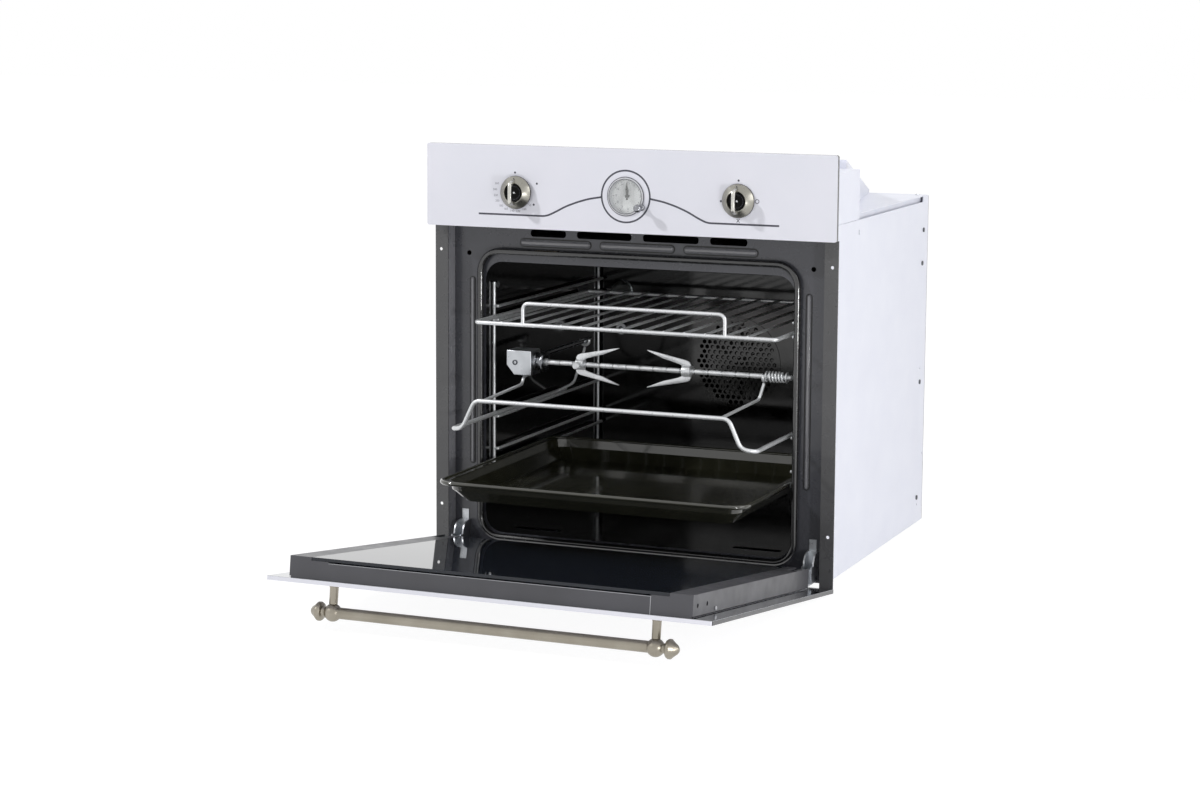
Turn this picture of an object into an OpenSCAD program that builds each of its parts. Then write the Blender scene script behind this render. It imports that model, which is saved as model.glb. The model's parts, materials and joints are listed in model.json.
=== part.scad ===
// Built-in gas oven with a drop-down door, a rotisserie and two control knobs.
// Every piece is drawn in cabinet coordinates: x across, y into the cabinet from the
// control panel's front face, z up. place() then moves it so that the origin is at the
// centre of the four cabinet screw holes, on the plane where the trims meet the cabinet.

/* [Front] */
// Width of the control panel and of the door
front_w = 595; // [591:1:598]
// Height of the control panel
panel_h = 114; // [110:1:120]
// Height of the door panel
door_h = 483; // [479:1:486]
// Gap between the closed door and the control panel
door_gap = 3.5; // [2.5:0.5:6]
// Depth of the control panel's folded edge
panel_fold = 8; // [5:1:9]
// Corner radius of the front pieces
front_r = 3; // [1:0.5:5]

/* [Casing] */
// Width over the side panels
body_w = 556; // [554:1:558]
// Sheet thickness of the casing
sheet = 1.2; // [0.8:0.1:1.5]
// Underside of the casing above the datum
base_z = 12; // [10:1:13]
// Rear edge of the side panels
body_y = 521; // [520:1:530]
// Depth of the control housing behind the front face
housing_d = 170; // [165:1:180]
// Height of the control housing
housing_h = 69; // [68:1:76]
// Depth of the rear cover
rear_cover_d = 7.6; // [6:0.2:12]

/* [Cabinet trims] */
// Front face of the trims behind the panel's front face
trim_y = 20.5; // [20:0.5:23]
// Thickness of the trims
trim_t = 1.5; // [1:0.1:2]
// Width of the trim flange that laps the cabinet
trim_lap = 18; // [16:1:19]
// How far the trim's inner wall runs back
trim_return = 34; // [30:1:36]
// Distance of the cabinet screws outside the side panels
screw_out = 8.3; // [7:0.1:10]
// Upright distance between the cabinet screws
screw_dz = 363; // [340:1:380]
// Height of the middle of the cabinet screws
screw_mid_z = 263; // [255:1:270]
// Radius of a cabinet screw hole
screw_r = 2.25; // [1.8:0.05:2.6]

/* [Cavity] */
// Inside width of the cavity
cavity_w = 456; // [454:1:460]
// Cavity floor above the datum
cavity_floor = 42; // [40:1:46]
// Cavity roof above the datum
cavity_roof = 428; // [426:1:434]
// Inside face of the cavity's rear wall
cavity_y = 460; // [459:1:462]
// Front face of the pressed front frame
frame_y = 43.5; // [43.2:0.1:44]
// Width of the door gasket's bead
gasket_w = 9; // [8:0.5:10]
// How far the gasket stands out of the front frame
gasket_t = 10.3; // [8:0.1:10.4]

/* [Wires and racks] */
// Radius of the racks' runner wires
runner_r = 2.3; // [2:0.1:2.4]
// Radius of the outer wire of the shelf and of the cradle
frame_wire = 3; // [2.6:0.1:3.2]
// Radius of the shelf's inner wires
shelf_wire = 1.9; // [1.5:0.1:2.2]
// Sideways place of the runners and of what slides on them
runner_x = 219.5; // [218:0.5:220]
// Pitch of the shelf's inner wires
shelf_pitch = 30; // [25:1:40]
// Height of the wire shelf
shelf_z = 348; // [340:1:356]
// Height of the rotisserie cradle's rails
cradle_z = 210; // [206:1:214]
// Height of the tray's rim
tray_z = 143.5; // [138:0.5:148]
// Depth of the tray below its rim
tray_d = 27; // [20:1:34]
// Length of the tray from front to back
tray_len = 399; // [380:1:401]
// Length of the shelf between its front and rear bars
shelf_len = 404; // [390:1:406]

/* [Photographed pose] */
// Front bar of the shelf
shelf_y = -9; // [-12:1:-6]
// Front edge of the tray's rim
tray_y = -137; // [-140:1:-134]
// Front bar of the rotisserie cradle
cradle_y = -90; // [-92:1:-88]
// Opening angle of the door in degrees
door_open = 82.3; // [80:0.1:84]

/* [Rotisserie] */
// Height of the spit's axis
spit_z = 288.5; // [284:0.5:292]
// Distance from the cradle's front bar to the spit's axis
spit_back = 145; // [142:1:148]
// Radius of the spit rod
spit_r = 3.5; // [3:0.1:4]
// Radius of the drive shaft
drive_r = 4; // [3.5:0.1:4.4]
// Sideways place of the drive shaft
drive_x = -176.5; // [-178:0.5:-175]
// Length of the drive shaft behind the spit's axis
drive_len = 245; // [238:1:247]
// Number of pins on each drive wheel
drive_pins = 8; // [8:4:8]
// Curls of the spit's spring
spring_curls = 5; // [4:1:6]
// Radius of the spring's wire
spring_wire = 1.3; // [1:0.1:1.5]
// Mean radius of the spring
spring_r = 6.5; // [6:0.1:7]

/* [Door] */
// Thickness of the outer door panel
panel_t = 5; // [4:0.5:5]
// Depth of the inner door frame behind the outer panel
door_box_d = 27.6; // [26:0.1:27.7]
// Width of the inner door frame
door_box_w = 539; // [536:1:541]
// Width of the door frame's side rails
rail_w = 30; // [29:0.5:32]
// How far the closed door reaches below the datum
door_drop = 6.5; // [5.5:0.5:7]
// Thickness of the inner door glass
glass_t = 4; // [3:0.5:5]
// Sideways place of the hinges
hinge_x = 260; // [259.5:0.1:260.3]
// Sideways place of the handle posts
post_x = 217; // [200:1:230]
// Distance of the handle's axis from the outer panel
handle_out = 36.5; // [32:0.5:42]
// Radius of the handle bar
handle_r = 7.2; // [6:0.1:8]
// Distance of the handle posts below the door's top edge
handle_drop = 31.3; // [28:0.1:36]

/* [Controls] */
// Sideways place of the two knobs
knob_x = 161; // [150:1:175]
// Height of the knobs and the clock
knob_z = 529.8; // [528:0.2:534]
// Radius of a knob's skirt
knob_r = 22.5; // [20:0.5:25]
// Travel of the temperature knob when it is pushed
knob_push = 3; // [2:0.5:4]
// Radius of a control spindle
spindle_r = 4; // [3:0.5:4.5]
// Radius of the clock's case
clock_r = 24.3; // [22:0.1:25]

/* [Fans and gas] */
// Height of the oven fan's axis
fan_z = 242; // [236:1:248]
// Radius of the perforated fan cover
grille_r = 65; // [62:1:68]
// Pitch of the cover's holes
hole_pitch = 8.7; // [8.5:0.1:12]
// Radius of the gas inlet's thread
inlet_r = 10.48; // [10.48:0.01:10.5]
// Length of the gas inlet's thread
inlet_len = 16; // [12:1:20]

/* [Hidden] */
$fn = 48;
seat = 0.2;      // gap between two pieces that are fastened together
clear = 0.3;     // gap between pieces that pass each other
fit = 0.06;      // radial clearance of a shaft in its bore

white = "#DFE0E9";
casing_white = "#E4E6F0";
dark = "#48484C";
enamel = "#17171A";
steel = "#B9BBBE";
chrome = "#C9CCCF";
nickel = "#A29C90";
brass = "#B79B5B";

body_x = body_w / 2;
inner_x = body_x - sheet;
panel_z = door_h - door_drop + door_gap;
trim_back = trim_y + trim_t;
trim_x = inner_x - sheet;
trim_edge = trim_x + trim_lap + sheet;
trim_foot = 7.5;
trim_relief = 0.2;
screw_dx = body_w + 2 * screw_out;
housing_z = 496;
housing_top = housing_z + housing_h;
housing_x = body_x - 1;
frame_back = frame_y + sheet;
frame_z = base_z + 0.5;
top_z = housing_z + 7.2;
duct_front = [257, housing_d + seat, 577];
duct_rear = [186, body_y, 509];
duct_slope = (duct_front[2] - duct_rear[2]) / (duct_rear[1] - duct_front[1]);
duct_way = [150, 515, 550];
cavity_x = cavity_w / 2;
cavity_mid = (cavity_floor + cavity_roof) / 2;
liner_x = cavity_x + sheet + seat;
wool_x = (liner_x + inner_x) / 2;
gasket_in = cavity_x + 1;
gasket_out = gasket_in + gasket_w;
gasket_rise = 10;
rib_x = gasket_out + 0.26 * (trim_x - gasket_out);
dimple_x = gasket_out + 0.41 * (trim_x - gasket_out);
rib_h = 264;
rib_z = cavity_roof + gasket_rise + gasket_w + 9.5;
vent_z = rib_z + 13.5;
vent_h = 10;
wool_t = 26.6;
mouth_r = 26;
rear_y = body_y + seat;
vertical_x = cavity_x - clear - runner_r;
tray_edge_r = 3;
tray_step = 11;
rack_front = 66;
rack_rear = cavity_y - 8;
rest_drop = frame_wire + clear + runner_r;
// Levels of the runners, from the tray up to the shelf
levels = [tray_z - tray_edge_r - clear - runner_r, tray_z + 14.5, cradle_z - rest_drop,
  shelf_z - rest_drop, shelf_z + 14];
tray_half = runner_x + frame_wire;
spit_y = cradle_y + spit_back;
carrier_back = 372;
carrier_r = 2.2;
pin_circle = 8;
pin_r = 1;
spring_x0 = 186.4;
spring_x1 = 214;
spring_end = 2 * spring_wire;
spring_steps = 8 * spring_curls;
door_axis = [1, 10];
door_top = door_h - door_drop;
box_y = panel_t + 2;
box_back = panel_t + door_box_d;
box_x = door_box_w / 2;
box_top = door_top - 9;
box_foot = 21.5;
glass_x = box_x - rail_w - seat;
rail_in = box_x - rail_w;
arm_w = 15;
arm_wall = 2;
lug_w = arm_w - 2 * arm_wall - 2 * clear;
handle_z = door_top - handle_drop;
ball_r = 11.5;
vents = [[-159.3, -106], [-89.5, -8.4], [8.4, 89.5], [106, 159.3]];
ribs = [[-174, -69], [-54, 54], [69, 174]];
lamp_x = -190;
lamp_z = 343;
clock_y = 34;
grill_z = 418;
grill_r = 3.25;
burner_z = 28;
burner_r = 7.5;
burner_front = 130;
burner_rear = 380;
pipe_r = 4;
pipe_run_z = housing_z - 20;
pipe_side = (wool_x + inner_x) / 2;
pipe_bend_z = housing_z + 19;
riser_y = housing_d - 20;
valve_back = 60;
set_at = [24.6, -14];
hour_r = 1.7;
minute_r = 0.8;
set_r = 2;
chamber_r = 9;
inlet_at = [-230, 491];
fan_y = housing_d - 38;
drum_z = housing_z + 31;
drum_half = 106;
drum_r = 24;
screw_pair = [[496.5, 454], [493, 404.5], [492.5, 226], [489.5, 50.5]];
recess_end = body_y - 28;

module place() translate([0, -trim_back, -screw_mid_z]) children();
module both() { children(); mirror([1, 0, 0]) children(); }

// A flat outline in x and z, made into a slab from y0 to y1
module slab_y(y0, y1) translate([0, y1, 0]) rotate([90, 0, 0]) linear_extrude(y1 - y0) children();
// A flat outline in y and z, made into a slab from x0 to x1
module slab_x(x0, x1) translate([x0, 0, 0]) rotate([90, 0, 90]) linear_extrude(x1 - x0) children();
module box(a, b) translate(a) cube(b - a);
module rod_x(x0, x1, y, z, r) translate([x0, y, z]) rotate([0, 90, 0]) cylinder(h = x1 - x0, r = r);
module rod_y(y0, y1, x, z, r) translate([x, y1, z]) rotate([90, 0, 0]) cylinder(h = y1 - y0, r = r);
module rod_z(z0, z1, x, y, r) translate([x, y, z0]) cylinder(h = z1 - z0, r = r);

// A rectangle with round corners, centred
module rounded(w, h, r) {
  square([w - 2 * r, h], center = true);
  square([w, h - 2 * r], center = true);
  for (x = [-1, 1], z = [-1, 1]) translate([x * (w / 2 - r), z * (h / 2 - r)]) circle(r);
}

// A round bar from a to b
module bar(a, b, r) {
  d = b - a;
  translate(a) rotate([0, acos(d[2] / norm(d)), atan2(d[1], d[0])]) cylinder(h = norm(d), r = r);
}

function unit(v) = v / norm(v);

// Points of the spring's centre line: a short straight end, the curls and a straight end
function spring_angle(i) = 360 * i / 8;
function on_spring(x, a) = [x, spring_r * cos(a), spring_r * sin(a)];
spring_line = concat([on_spring(spring_x0, 0)],
  [for (i = [0 : spring_steps]) on_spring(spring_x0 + spring_end
    + (spring_x1 - spring_x0 - 2 * spring_end) * i / spring_steps, spring_angle(i))],
  [on_spring(spring_x1, spring_angle(spring_steps))]);
spring_turn = concat([0], [for (i = [0 : spring_steps]) spring_angle(i)],
  [spring_angle(spring_steps)]);
function along(i) = i < 1 || i > len(spring_line) - 2 ? [1, 0, 0]
  : unit(spring_line[i + 1] - spring_line[i - 1]);
spring_rings = [for (i = [0 : len(spring_line) - 1])
  let (out = [0, cos(spring_turn[i]), sin(spring_turn[i])], side = cross(along(i), out))
  for (k = [0 : 5]) spring_line[i] + spring_wire * (cos(60 * k) * out + sin(60 * k) * side)];
spring_gap = min([for (i = [0 : len(spring_line) - 1]) for (j = [i + 5 : 1 : len(spring_line) - 1])
  norm(spring_line[i] - spring_line[j]) - 2 * spring_wire]);
echo(least_gap_of_the_spring = spring_gap);

// A wire of oblique stretches, with a ball a little fuller than the wire at each bend
module chain(points, r) {
  last = len(points) - 1;
  for (i = [0 : last - 1]) bar(points[i], points[i + 1], r);
  if (last > 1) for (i = [1 : last - 1]) translate(points[i]) sphere(r * 1.06);
}

// A wire of stretches along the axes, with a bend of the given radius at each inner point
module wire(points, r, bend) {
  last = len(points) - 1;
  way = [for (i = [0 : last - 1]) unit(points[i + 1] - points[i])];
  angle = [for (i = [0 : last]) i == 0 || i == last ? 0 : acos(way[i - 1] * way[i])];
  cut = [for (a = angle) bend * tan(a / 2)];
  for (i = [0 : last - 1]) bar(points[i] + cut[i] * way[i], points[i + 1] - cut[i + 1] * way[i], r);
  if (last > 1) for (i = [1 : last - 1]) {
    axis = unit(cross(way[i - 1], way[i]));
    inward = cross(axis, way[i - 1]);
    centre = points[i] - cut[i] * way[i - 1] + bend * inward;
    multmatrix([for (k = [0 : 2]) [-inward[k], way[i - 1][k], axis[k], centre[k]]])
      rotate_extrude(angle = angle[i]) translate([bend, 0]) circle(r);
  }
}

// A round lathe profile of [x, radius] points about the x axis
module turned(profile) rotate([90, 0, 90]) rotate_extrude()
  polygon(concat([[0, profile[0][0]]], [for (p = profile) [p[1], p[0]]],
    [[0, profile[len(profile) - 1][0]]]));

// Casing

module control_panel() place() color(white) difference() {
  union() {
    translate([0, 0, panel_z + panel_h / 2]) slab_y(0, 1.5) rounded(front_w, panel_h, front_r);
    translate([0, 0, panel_z + panel_h / 2]) slab_y(1.5, panel_fold) difference() {
      rounded(front_w, panel_h, front_r);
      rounded(front_w - 3, panel_h - 3, front_r - 1.5);
    }
  }
  for (x = [-knob_x, knob_x]) rod_y(-1, 3, x, knob_z, spindle_r + 1);
  rod_y(-1, 3, 0, knob_z, clock_r + clear);
  rod_y(-1, 3, set_at[0], knob_z + set_at[1], 3);
}

// White box behind the control panel
module control_housing() place() color(casing_white) difference() {
  box([-housing_x, 1.5 + seat, housing_z], [housing_x, housing_d, housing_top]);
  box([1 - housing_x, 0, housing_z + 1], [housing_x - 1, housing_d - 1, housing_top - 1]);
  // Outlet for the cooling air and the ways down for the gas pipes
  box([-cavity_x, 0, housing_z - 1], [cavity_x, trim_back + 10, housing_z + 2]);
  rod_z(housing_z - 1, housing_z + 2, -knob_x, riser_y, pipe_r + 2);
  rod_z(housing_z - 1, housing_z + 2, -pipe_side, 80, pipe_r + 2);
  // Way through for the air that the fan blows back
  duct_mouth();
}

// Way from the housing into the air duct
module duct_mouth() box([-duct_way[0], housing_d - 2, duct_way[1]], [duct_way[0], housing_d + 2,
  duct_way[2]]);

// Long bead pressed out of the front frame
module rib(w, h, r) {
  slab_y(frame_y - 1.3, frame_y) rounded(w, h, r);
  slab_y(frame_y - 2.4, frame_y - 1.3) rounded(w - 2.4, h - 2.4, r - 1.2);
}

// Pressed face between the trims, with the mouth of the cavity, vents, ribs and hinge slots
module front_frame() place() color(dark) difference() {
  union() {
    box([seat - trim_x, frame_y, frame_z], [trim_x - seat, frame_back, housing_z - seat]);
    for (r = ribs) translate([(r[0] + r[1]) / 2, 0, rib_z]) rib(r[1] - r[0], 9, 4.3);
    both() translate([rib_x, 0, cavity_mid + 37]) rib(6, rib_h, 2.8);
  }
  translate([0, 0, cavity_mid]) slab_y(frame_y - 3, frame_back + 1)
    rounded(cavity_w, cavity_roof - cavity_floor, mouth_r);
  for (v = vents) translate([(v[0] + v[1]) / 2, 0, vent_z]) slab_y(frame_y - 3, frame_back + 1)
    rounded(v[1] - v[0], vent_h, 4);
  both() {
    rod_y(frame_y - 3, frame_back + 1, dimple_x, cavity_roof + 10.5, 3.4);
    box([hinge_x - 7, frame_y - 3, 49.7], [hinge_x + 7, frame_back + 1, 57.6]);
  }
}

// L-shaped trims: a flange that laps the cabinet and a wall that runs back inside. The flange is
// set back a little over the side panel's front edge
module side_trims() place() color(dark) both() difference() {
  union() {
    box([trim_x, trim_y, trim_foot], [trim_edge, trim_back, panel_z]);
    box([trim_x, trim_y, frame_z], [inner_x, trim_y + trim_return, panel_z]);
  }
  for (z = [-0.5, 0.5]) rod_y(trim_y - 1, trim_back + 1, screw_dx / 2,
    screw_mid_z + z * screw_dz, screw_r);
  box([inner_x, trim_back - trim_relief, frame_z - 1], [body_x + seat, trim_back + 1, panel_z + 1]);
}

// Side panel, whose rear end stands up behind the recess along the cover
module side_panel() place() color(casing_white) difference() {
  union() {
    box([inner_x, trim_back + seat, base_z], [body_x, body_y, housing_z - seat]);
    box([inner_x, recess_end, base_z], [body_x, body_y, top_z + sheet]);
  }
  for (p = screw_pair) rod_x(inner_x - 1, body_x + 1, p[0], p[1], 1.8);
  for (p = [[494.5, 246], [491.5, 39.5], [514, 114]]) rod_x(inner_x - 1, body_x + 1, p[0], p[1], 1.8);
  box([inner_x - 1, 165.5, 475], [body_x + 1, 169, 482]);
}
module side_panel_left() mirror([1, 0, 0]) side_panel();
module side_panel_right() side_panel();

// Air duct that narrows and slopes down as it runs back over the cover
module duct(inset) difference() {
  translate([0, 0, top_z + 0.4 - inset]) linear_extrude(90) polygon([
    [inset - duct_front[0], duct_front[1] + inset], [duct_front[0] - inset, duct_front[1] + inset],
    [duct_rear[0] - inset, duct_rear[1] - inset], [inset - duct_rear[0], duct_rear[1] - inset]]);
  slab_x(-body_w, body_w) polygon([[0, 2 * top_z], [2 * body_y, 2 * top_z],
    [2 * body_y, duct_rear[2] - inset - (2 * body_y - duct_rear[1]) * duct_slope],
    [0, duct_front[2] - inset + duct_front[1] * duct_slope]]);
}

module top_cover() place() color(casing_white) {
  difference() {
    duct(0);
    duct(sheet);
    duct_mouth();
  }
  box([0.3 - inner_x, housing_d + seat, top_z], [inner_x - 0.3, rear_y + sheet, top_z + sheet]);
  both() box([inner_x - 4 - sheet, housing_d + seat, 491], [inner_x - 4, rear_y - seat, top_z]);
}

// Floor of the casing, narrower between the trims' inner walls
module base_panel() place() color(steel) {
  box([seat - inner_x, trim_y + trim_return + clear, base_z], [inner_x - seat, body_y, base_z + sheet]);
  box([seat - trim_x, frame_back + seat, base_z], [trim_x - seat, body_y, base_z + sheet]);
  box([seat - trim_x, frame_back + seat, base_z], [trim_x - seat, frame_back + seat + sheet,
    frame_z + 7]);
}

module rear_panel() place() color(steel) difference() {
  box([-body_x, rear_y, base_z], [body_x, rear_y + sheet, top_z - seat]);
  rod_y(rear_y - 1, rear_y + 3, inlet_at[0], inlet_at[1], 8 + clear);
}

module rear_cover() place() color(casing_white) difference() {
  translate([0, 0, 267]) slab_y(rear_y + sheet, rear_y + sheet + rear_cover_d)
    rounded(body_w - 4, 422, 8);
  translate([0, 0, 267]) slab_y(rear_y, rear_y + sheet + rear_cover_d - 1)
    rounded(body_w - 6, 420, 7);
  for (x = [-180 : 60 : 180], z = [140, 160, 180, 360, 380, 400])
    translate([x, 0, z]) slab_y(rear_y, rear_y + 20) rounded(40, 6, 2.9);
}

// Blanket of mineral wool over the cavity's roof, and half as wide as the room at its sides
module insulation() place() color("#C9B98C") difference() {
  roof = cavity_roof + sheet + seat;
  box([-wool_x, frame_back + 17, cavity_floor + 20], [wool_x, cavity_y - 5, roof + wool_t]);
  box([-liner_x, frame_back, cavity_floor], [liner_x, cavity_y, roof]);
}

// Enamelled liner with a flange behind the front frame
module cavity() place() color(enamel) difference() {
  union() {
    box([-cavity_x - sheet, frame_back, cavity_floor - sheet],
      [cavity_x + sheet, cavity_y + sheet, cavity_roof + sheet]);
    translate([0, 0, cavity_mid]) slab_y(frame_back, frame_back + sheet)
      square([cavity_w + 22, cavity_roof - cavity_floor + 22], center = true);
  }
  box([-cavity_x, frame_back - 1, cavity_floor], [cavity_x, cavity_y, cavity_roof]);
  rod_y(cavity_y - 1, cavity_y + 3, 0, fan_z, grille_r + 1);
  rod_y(cavity_y - 1, cavity_y + 3, lamp_x, lamp_z, 16);
  rod_y(cavity_y - 1, cavity_y + 3, drive_x, spit_z, 6 + clear);
  for (x = [-60, 60]) rod_y(cavity_y - 1, cavity_y + 3, x, grill_z, grill_r + clear);
  for (x = [-165, 165], y = [85, 400]) translate([x, y, cavity_floor - 3])
    linear_extrude(5) rounded(70, 14, 6);
}

// Round bead on a foot, set higher above the mouth than beside it
module door_gasket() place() color("#1E1E20") {
  r = gasket_w / 2;
  bend = mouth_r + r;
  x = gasket_in + r;
  y = frame_y - 0.1 - gasket_t + r;
  low = cavity_floor - 1 - r;
  high = cavity_roof + 1 + gasket_rise + r;
  for (z = [low, high]) rod_x(bend - x, x - bend, y, z, r);
  both() {
    rod_z(low + bend, high - bend, x, y, r);
    translate([x - bend, y, high - bend]) rotate([90, 0, 0]) rotate_extrude(angle = 90)
      translate([bend, 0]) circle(r);
    translate([x - bend, y, low + bend]) rotate([90, 0, 0]) rotate([0, 0, -90])
      rotate_extrude(angle = 90) translate([bend, 0]) circle(r);
  }
  translate([0, 0, (low + high) / 2]) slab_y(y, frame_y - 0.1) difference() {
    rounded(2 * x + r, high - low + r, bend + r / 2);
    rounded(2 * x - r, high - low - r, bend - r / 2);
  }
}

// Perforated cover over the oven fan
module fan_grille() place() color(enamel) translate([0, 0, fan_z])
  slab_y(cavity_y - seat - 1, cavity_y - seat) difference() {
    circle(grille_r + 5);
    for (row = [-8 : 8], col = [-8 : 8]) {
      x = hole_pitch * (col + (row % 2 == 0 ? 0 : 0.5));
      z = hole_pitch * row * sqrt(3) / 2;
      if (norm([x, z]) < grille_r - 4) translate([x, z]) rotate(30) circle(3.5, $fn = 6);
    }
  }

// Fan chamber behind the rear wall, with the motor on its back
module fan_motor() place() color(steel) translate([0, 0, fan_z]) {
  difference() {
    rod_y(cavity_y + sheet + seat, cavity_y + 27, 0, 0, grille_r + 11);
    rod_y(cavity_y, cavity_y + 26, 0, 0, grille_r + 10);
  }
  rod_y(cavity_y + 27, body_y - seat, 0, 0, 30);
  rod_y(cavity_y + 12, cavity_y + 27, 0, 0, 3);
}

module fan_wheel() place() color(steel) translate([0, 0, fan_z]) difference() {
  union() {
    rod_y(cavity_y + 20, cavity_y + 21.5, 0, 0, 55);
    rod_y(cavity_y + 10, cavity_y + 20, 0, 0, 8);
    for (a = [0 : 30 : 359]) rotate([0, a, 0])
      box([22, cavity_y + 8, -0.6], [54, cavity_y + 20.6, 0.6]);
  }
  rod_y(cavity_y + 5, cavity_y + 25, 0, 0, 3 + fit);
}

module lamp_holder() place() color("#D8D4C8") translate([lamp_x, 0, lamp_z]) {
  rod_y(cavity_y + sheet + seat, cavity_y + 34, 0, 0, 20);
  rod_y(cavity_y - 2, cavity_y + sheet + seat, 0, 0, 15.6);
}

module lamp_lens() place() color("#E9EDEE") translate([lamp_x, cavity_y - 2 - seat, lamp_z])
  rotate([90, 0, 0]) difference() {
    translate([0, 0, -2]) cylinder(h = 5, r1 = 19, r2 = 17.5);
    translate([0, 0, -3]) cylinder(h = 3, r = 15.6 + seat);
  }

// Looped tube heater under the roof, hung from clips
module grill_element() place() color("#5B5956") {
  wire([for (p = [[-60, cavity_y + 20], [-60, 180], [-110, 180], [-110, 370], [-160, 370],
    [-160, 150], [160, 150], [160, 370], [110, 370], [110, 180], [60, 180], [60, cavity_y + 20]])
    [p[0], p[1], grill_z]], grill_r, 14);
  for (x = [-110, 110], y = [215, 325]) box([x - 2, y, grill_z], [x + 2, y + 2, cavity_roof - 0.1]);
}

module side_rack() place() color(chrome) {
  for (y = [rack_front, rack_rear]) rod_z(88, 396, vertical_x, y, runner_r);
  for (z = levels) {
    rod_y(rack_front, rack_rear, runner_x, z, runner_r);
    for (y = [rack_front, rack_rear]) rod_x(runner_x, vertical_x, y, z, runner_r * 0.96);
    for (y = [rack_front, rack_rear]) translate([runner_x, y, z]) sphere(runner_r * 1.03);
  }
}
module side_rack_left() mirror([1, 0, 0]) side_rack();
module side_rack_right() side_rack();

module rack_screws() place() color(chrome) both()
  for (y = [rack_front + 7.6, rack_rear - 7.6], z = [92, 392])
    rod_x(cavity_x - 5.2, cavity_x - seat, y, z, 5);

// Gas

module oven_burner() place() color(steel) difference() {
  union() {
    wire([for (p = [[-216, burner_front], [150, burner_front], [150, burner_rear],
      [-150, burner_rear], [-150, burner_front + 40]]) [p[0], p[1], burner_z]], burner_r, 40);
    for (x = [-90, 90], y = [burner_front, burner_rear])
      rod_z(base_z + sheet + 0.1, burner_z - 4, x, y, 5);
  }
  for (x = [-80 : 20 : 80], y = [burner_front, burner_rear]) rod_z(burner_z + 3, 41, x, y, 1.5);
}

// Spark electrode and flame probe on a bracket by the burner
module igniter_and_probe() place() color("#E6E2D6") {
  y = burner_front + 16;
  box([-40, y, base_z + sheet + 0.1], [0, y + 2, burner_z + 2]);
  for (x = [-32, -8]) rod_z(base_z + 6, burner_z + 10, x, y + 5, 3.1);
}

module gas_valve() place() color(brass) difference() {
  union() {
    box([-knob_x - 22, 1.5 + seat, knob_z - 14], [22 - knob_x, 6, knob_z + 14]);
    box([-knob_x - 18, 6, knob_z - 16], [18 - knob_x, valve_back, knob_z + 16]);
  }
  rod_y(0, 56, -knob_x, knob_z, spindle_r + fit);
  rod_y(28, 36 + knob_push, -knob_x, knob_z, chamber_r);
}

// Supply pipe from the inlet to the valve, and the pipe from the valve to the burner
module gas_pipes() place() color(brass) {
  x = inlet_at[0];
  chain([[x, body_y - 11, inlet_at[1]], [x, body_y - 41, inlet_at[1]],
    [x, body_y - 91, pipe_run_z], [x, riser_y, pipe_run_z], [-knob_x, riser_y, pipe_run_z],
    [-knob_x, riser_y, knob_z], [-knob_x, valve_back + seat, knob_z]], pipe_r);
  chain([[-knob_x - 18 - seat, 34, knob_z], [-pipe_side, 34, knob_z], [-pipe_side, 80, pipe_bend_z],
    [-pipe_side, 80, burner_z], [-pipe_side, burner_front, burner_z],
    [-216 - seat, burner_front, burner_z]], pipe_r);
}

module gas_inlet() place() color(brass) translate([inlet_at[0], rear_y + sheet, inlet_at[1]])
  difference() {
    union() {
      rod_y(-17.4, 1, 0, 0, 8);
      rod_y(seat, 8, 0, 0, 11.8);
      rod_y(8, 8 + inlet_len, 0, 0, inlet_r);
    }
    rod_y(-18.4, -10.4, 0, 0, pipe_r + seat);
    rod_y(-11.4, 9 + inlet_len, 0, 0, 6.5);
  }

module function_switch() place() color("#D9D6CC") difference() {
  box([knob_x - 20, 1.5 + seat, knob_z - 20], [knob_x + 20, 45, knob_z + 20]);
  rod_y(0, 40, knob_x, knob_z, spindle_r + fit);
}

// Controls

// Skirt with a dished face and an arched grip over the dish, on its spindle
module knob(x, back, spindle) translate([x, 0, knob_z]) {
  difference() {
    translate([0, back, 0]) rotate([90, 0, 0]) {
      cylinder(h = 2, r = knob_r);
      translate([0, 0, 2]) cylinder(h = 8, r1 = knob_r, r2 = knob_r * 0.62);
    }
    rod_y(back - 11, back - 5, 0, 0, knob_r * 0.55);
  }
  slab_x(-2.4, 2.4) difference() {
    polygon([[back - 2.5, -17], [back - 4, 17], [back - 19, 15.5], [back - 22.5, 11],
      [back - 22.5, -11], [back - 19, -15.5]]);
    polygon([[back - 4, -11.6], [back - 4, 11.6], [back - 17, 11.2], [back - 19, 8.5],
      [back - 19, -8.5], [back - 17, -11.2]]);
  }
  rod_y(back, spindle, 0, 0, spindle_r);
}

module temperature_knob() place() color(nickel) {
  knob(-knob_x, -knob_push - 0.7, 52);
  rod_y(28.2, 32, -knob_x, knob_z, spindle_r + 3.5);
}

// Ring that takes the knob's push and doesn't turn with it
module knob_thrust_ring() place() color(steel) difference() {
  rod_y(32.2, 34.2, -knob_x, knob_z, chamber_r - fit);
  rod_y(31, 36, -knob_x, knob_z, spindle_r + fit);
}

module function_knob() place() color(nickel) knob(knob_x, -0.7, 38);

module clock_case() place() color("#5A564E") translate([0, 0, knob_z]) difference() {
  union() {
    rod_y(-2, -0.05, 0, 0, clock_r + 1);
    rod_y(-0.05, clock_y, 0, 0, clock_r);
    box([10, 6, -30], [36, 22, 0]);
  }
  rod_y(-3, 12, 0, 0, clock_r - 0.9);
  rod_y(-3, 20, 0, 0, hour_r + fit);
  rod_y(0, 18, set_at[0], set_at[1], set_r + fit);
}

module clock_dial() place() color("#F1F1EE") translate([0, 0, knob_z]) difference() {
  rod_y(9, 10, 0, 0, clock_r - 1.1);
  rod_y(8, 11, 0, 0, 2.2);
}

module clock_glass() place() color("#E9F0F2") translate([0, 0, knob_z])
  rod_y(-1.4, 0, 0, 0, clock_r - 1.1);

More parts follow.
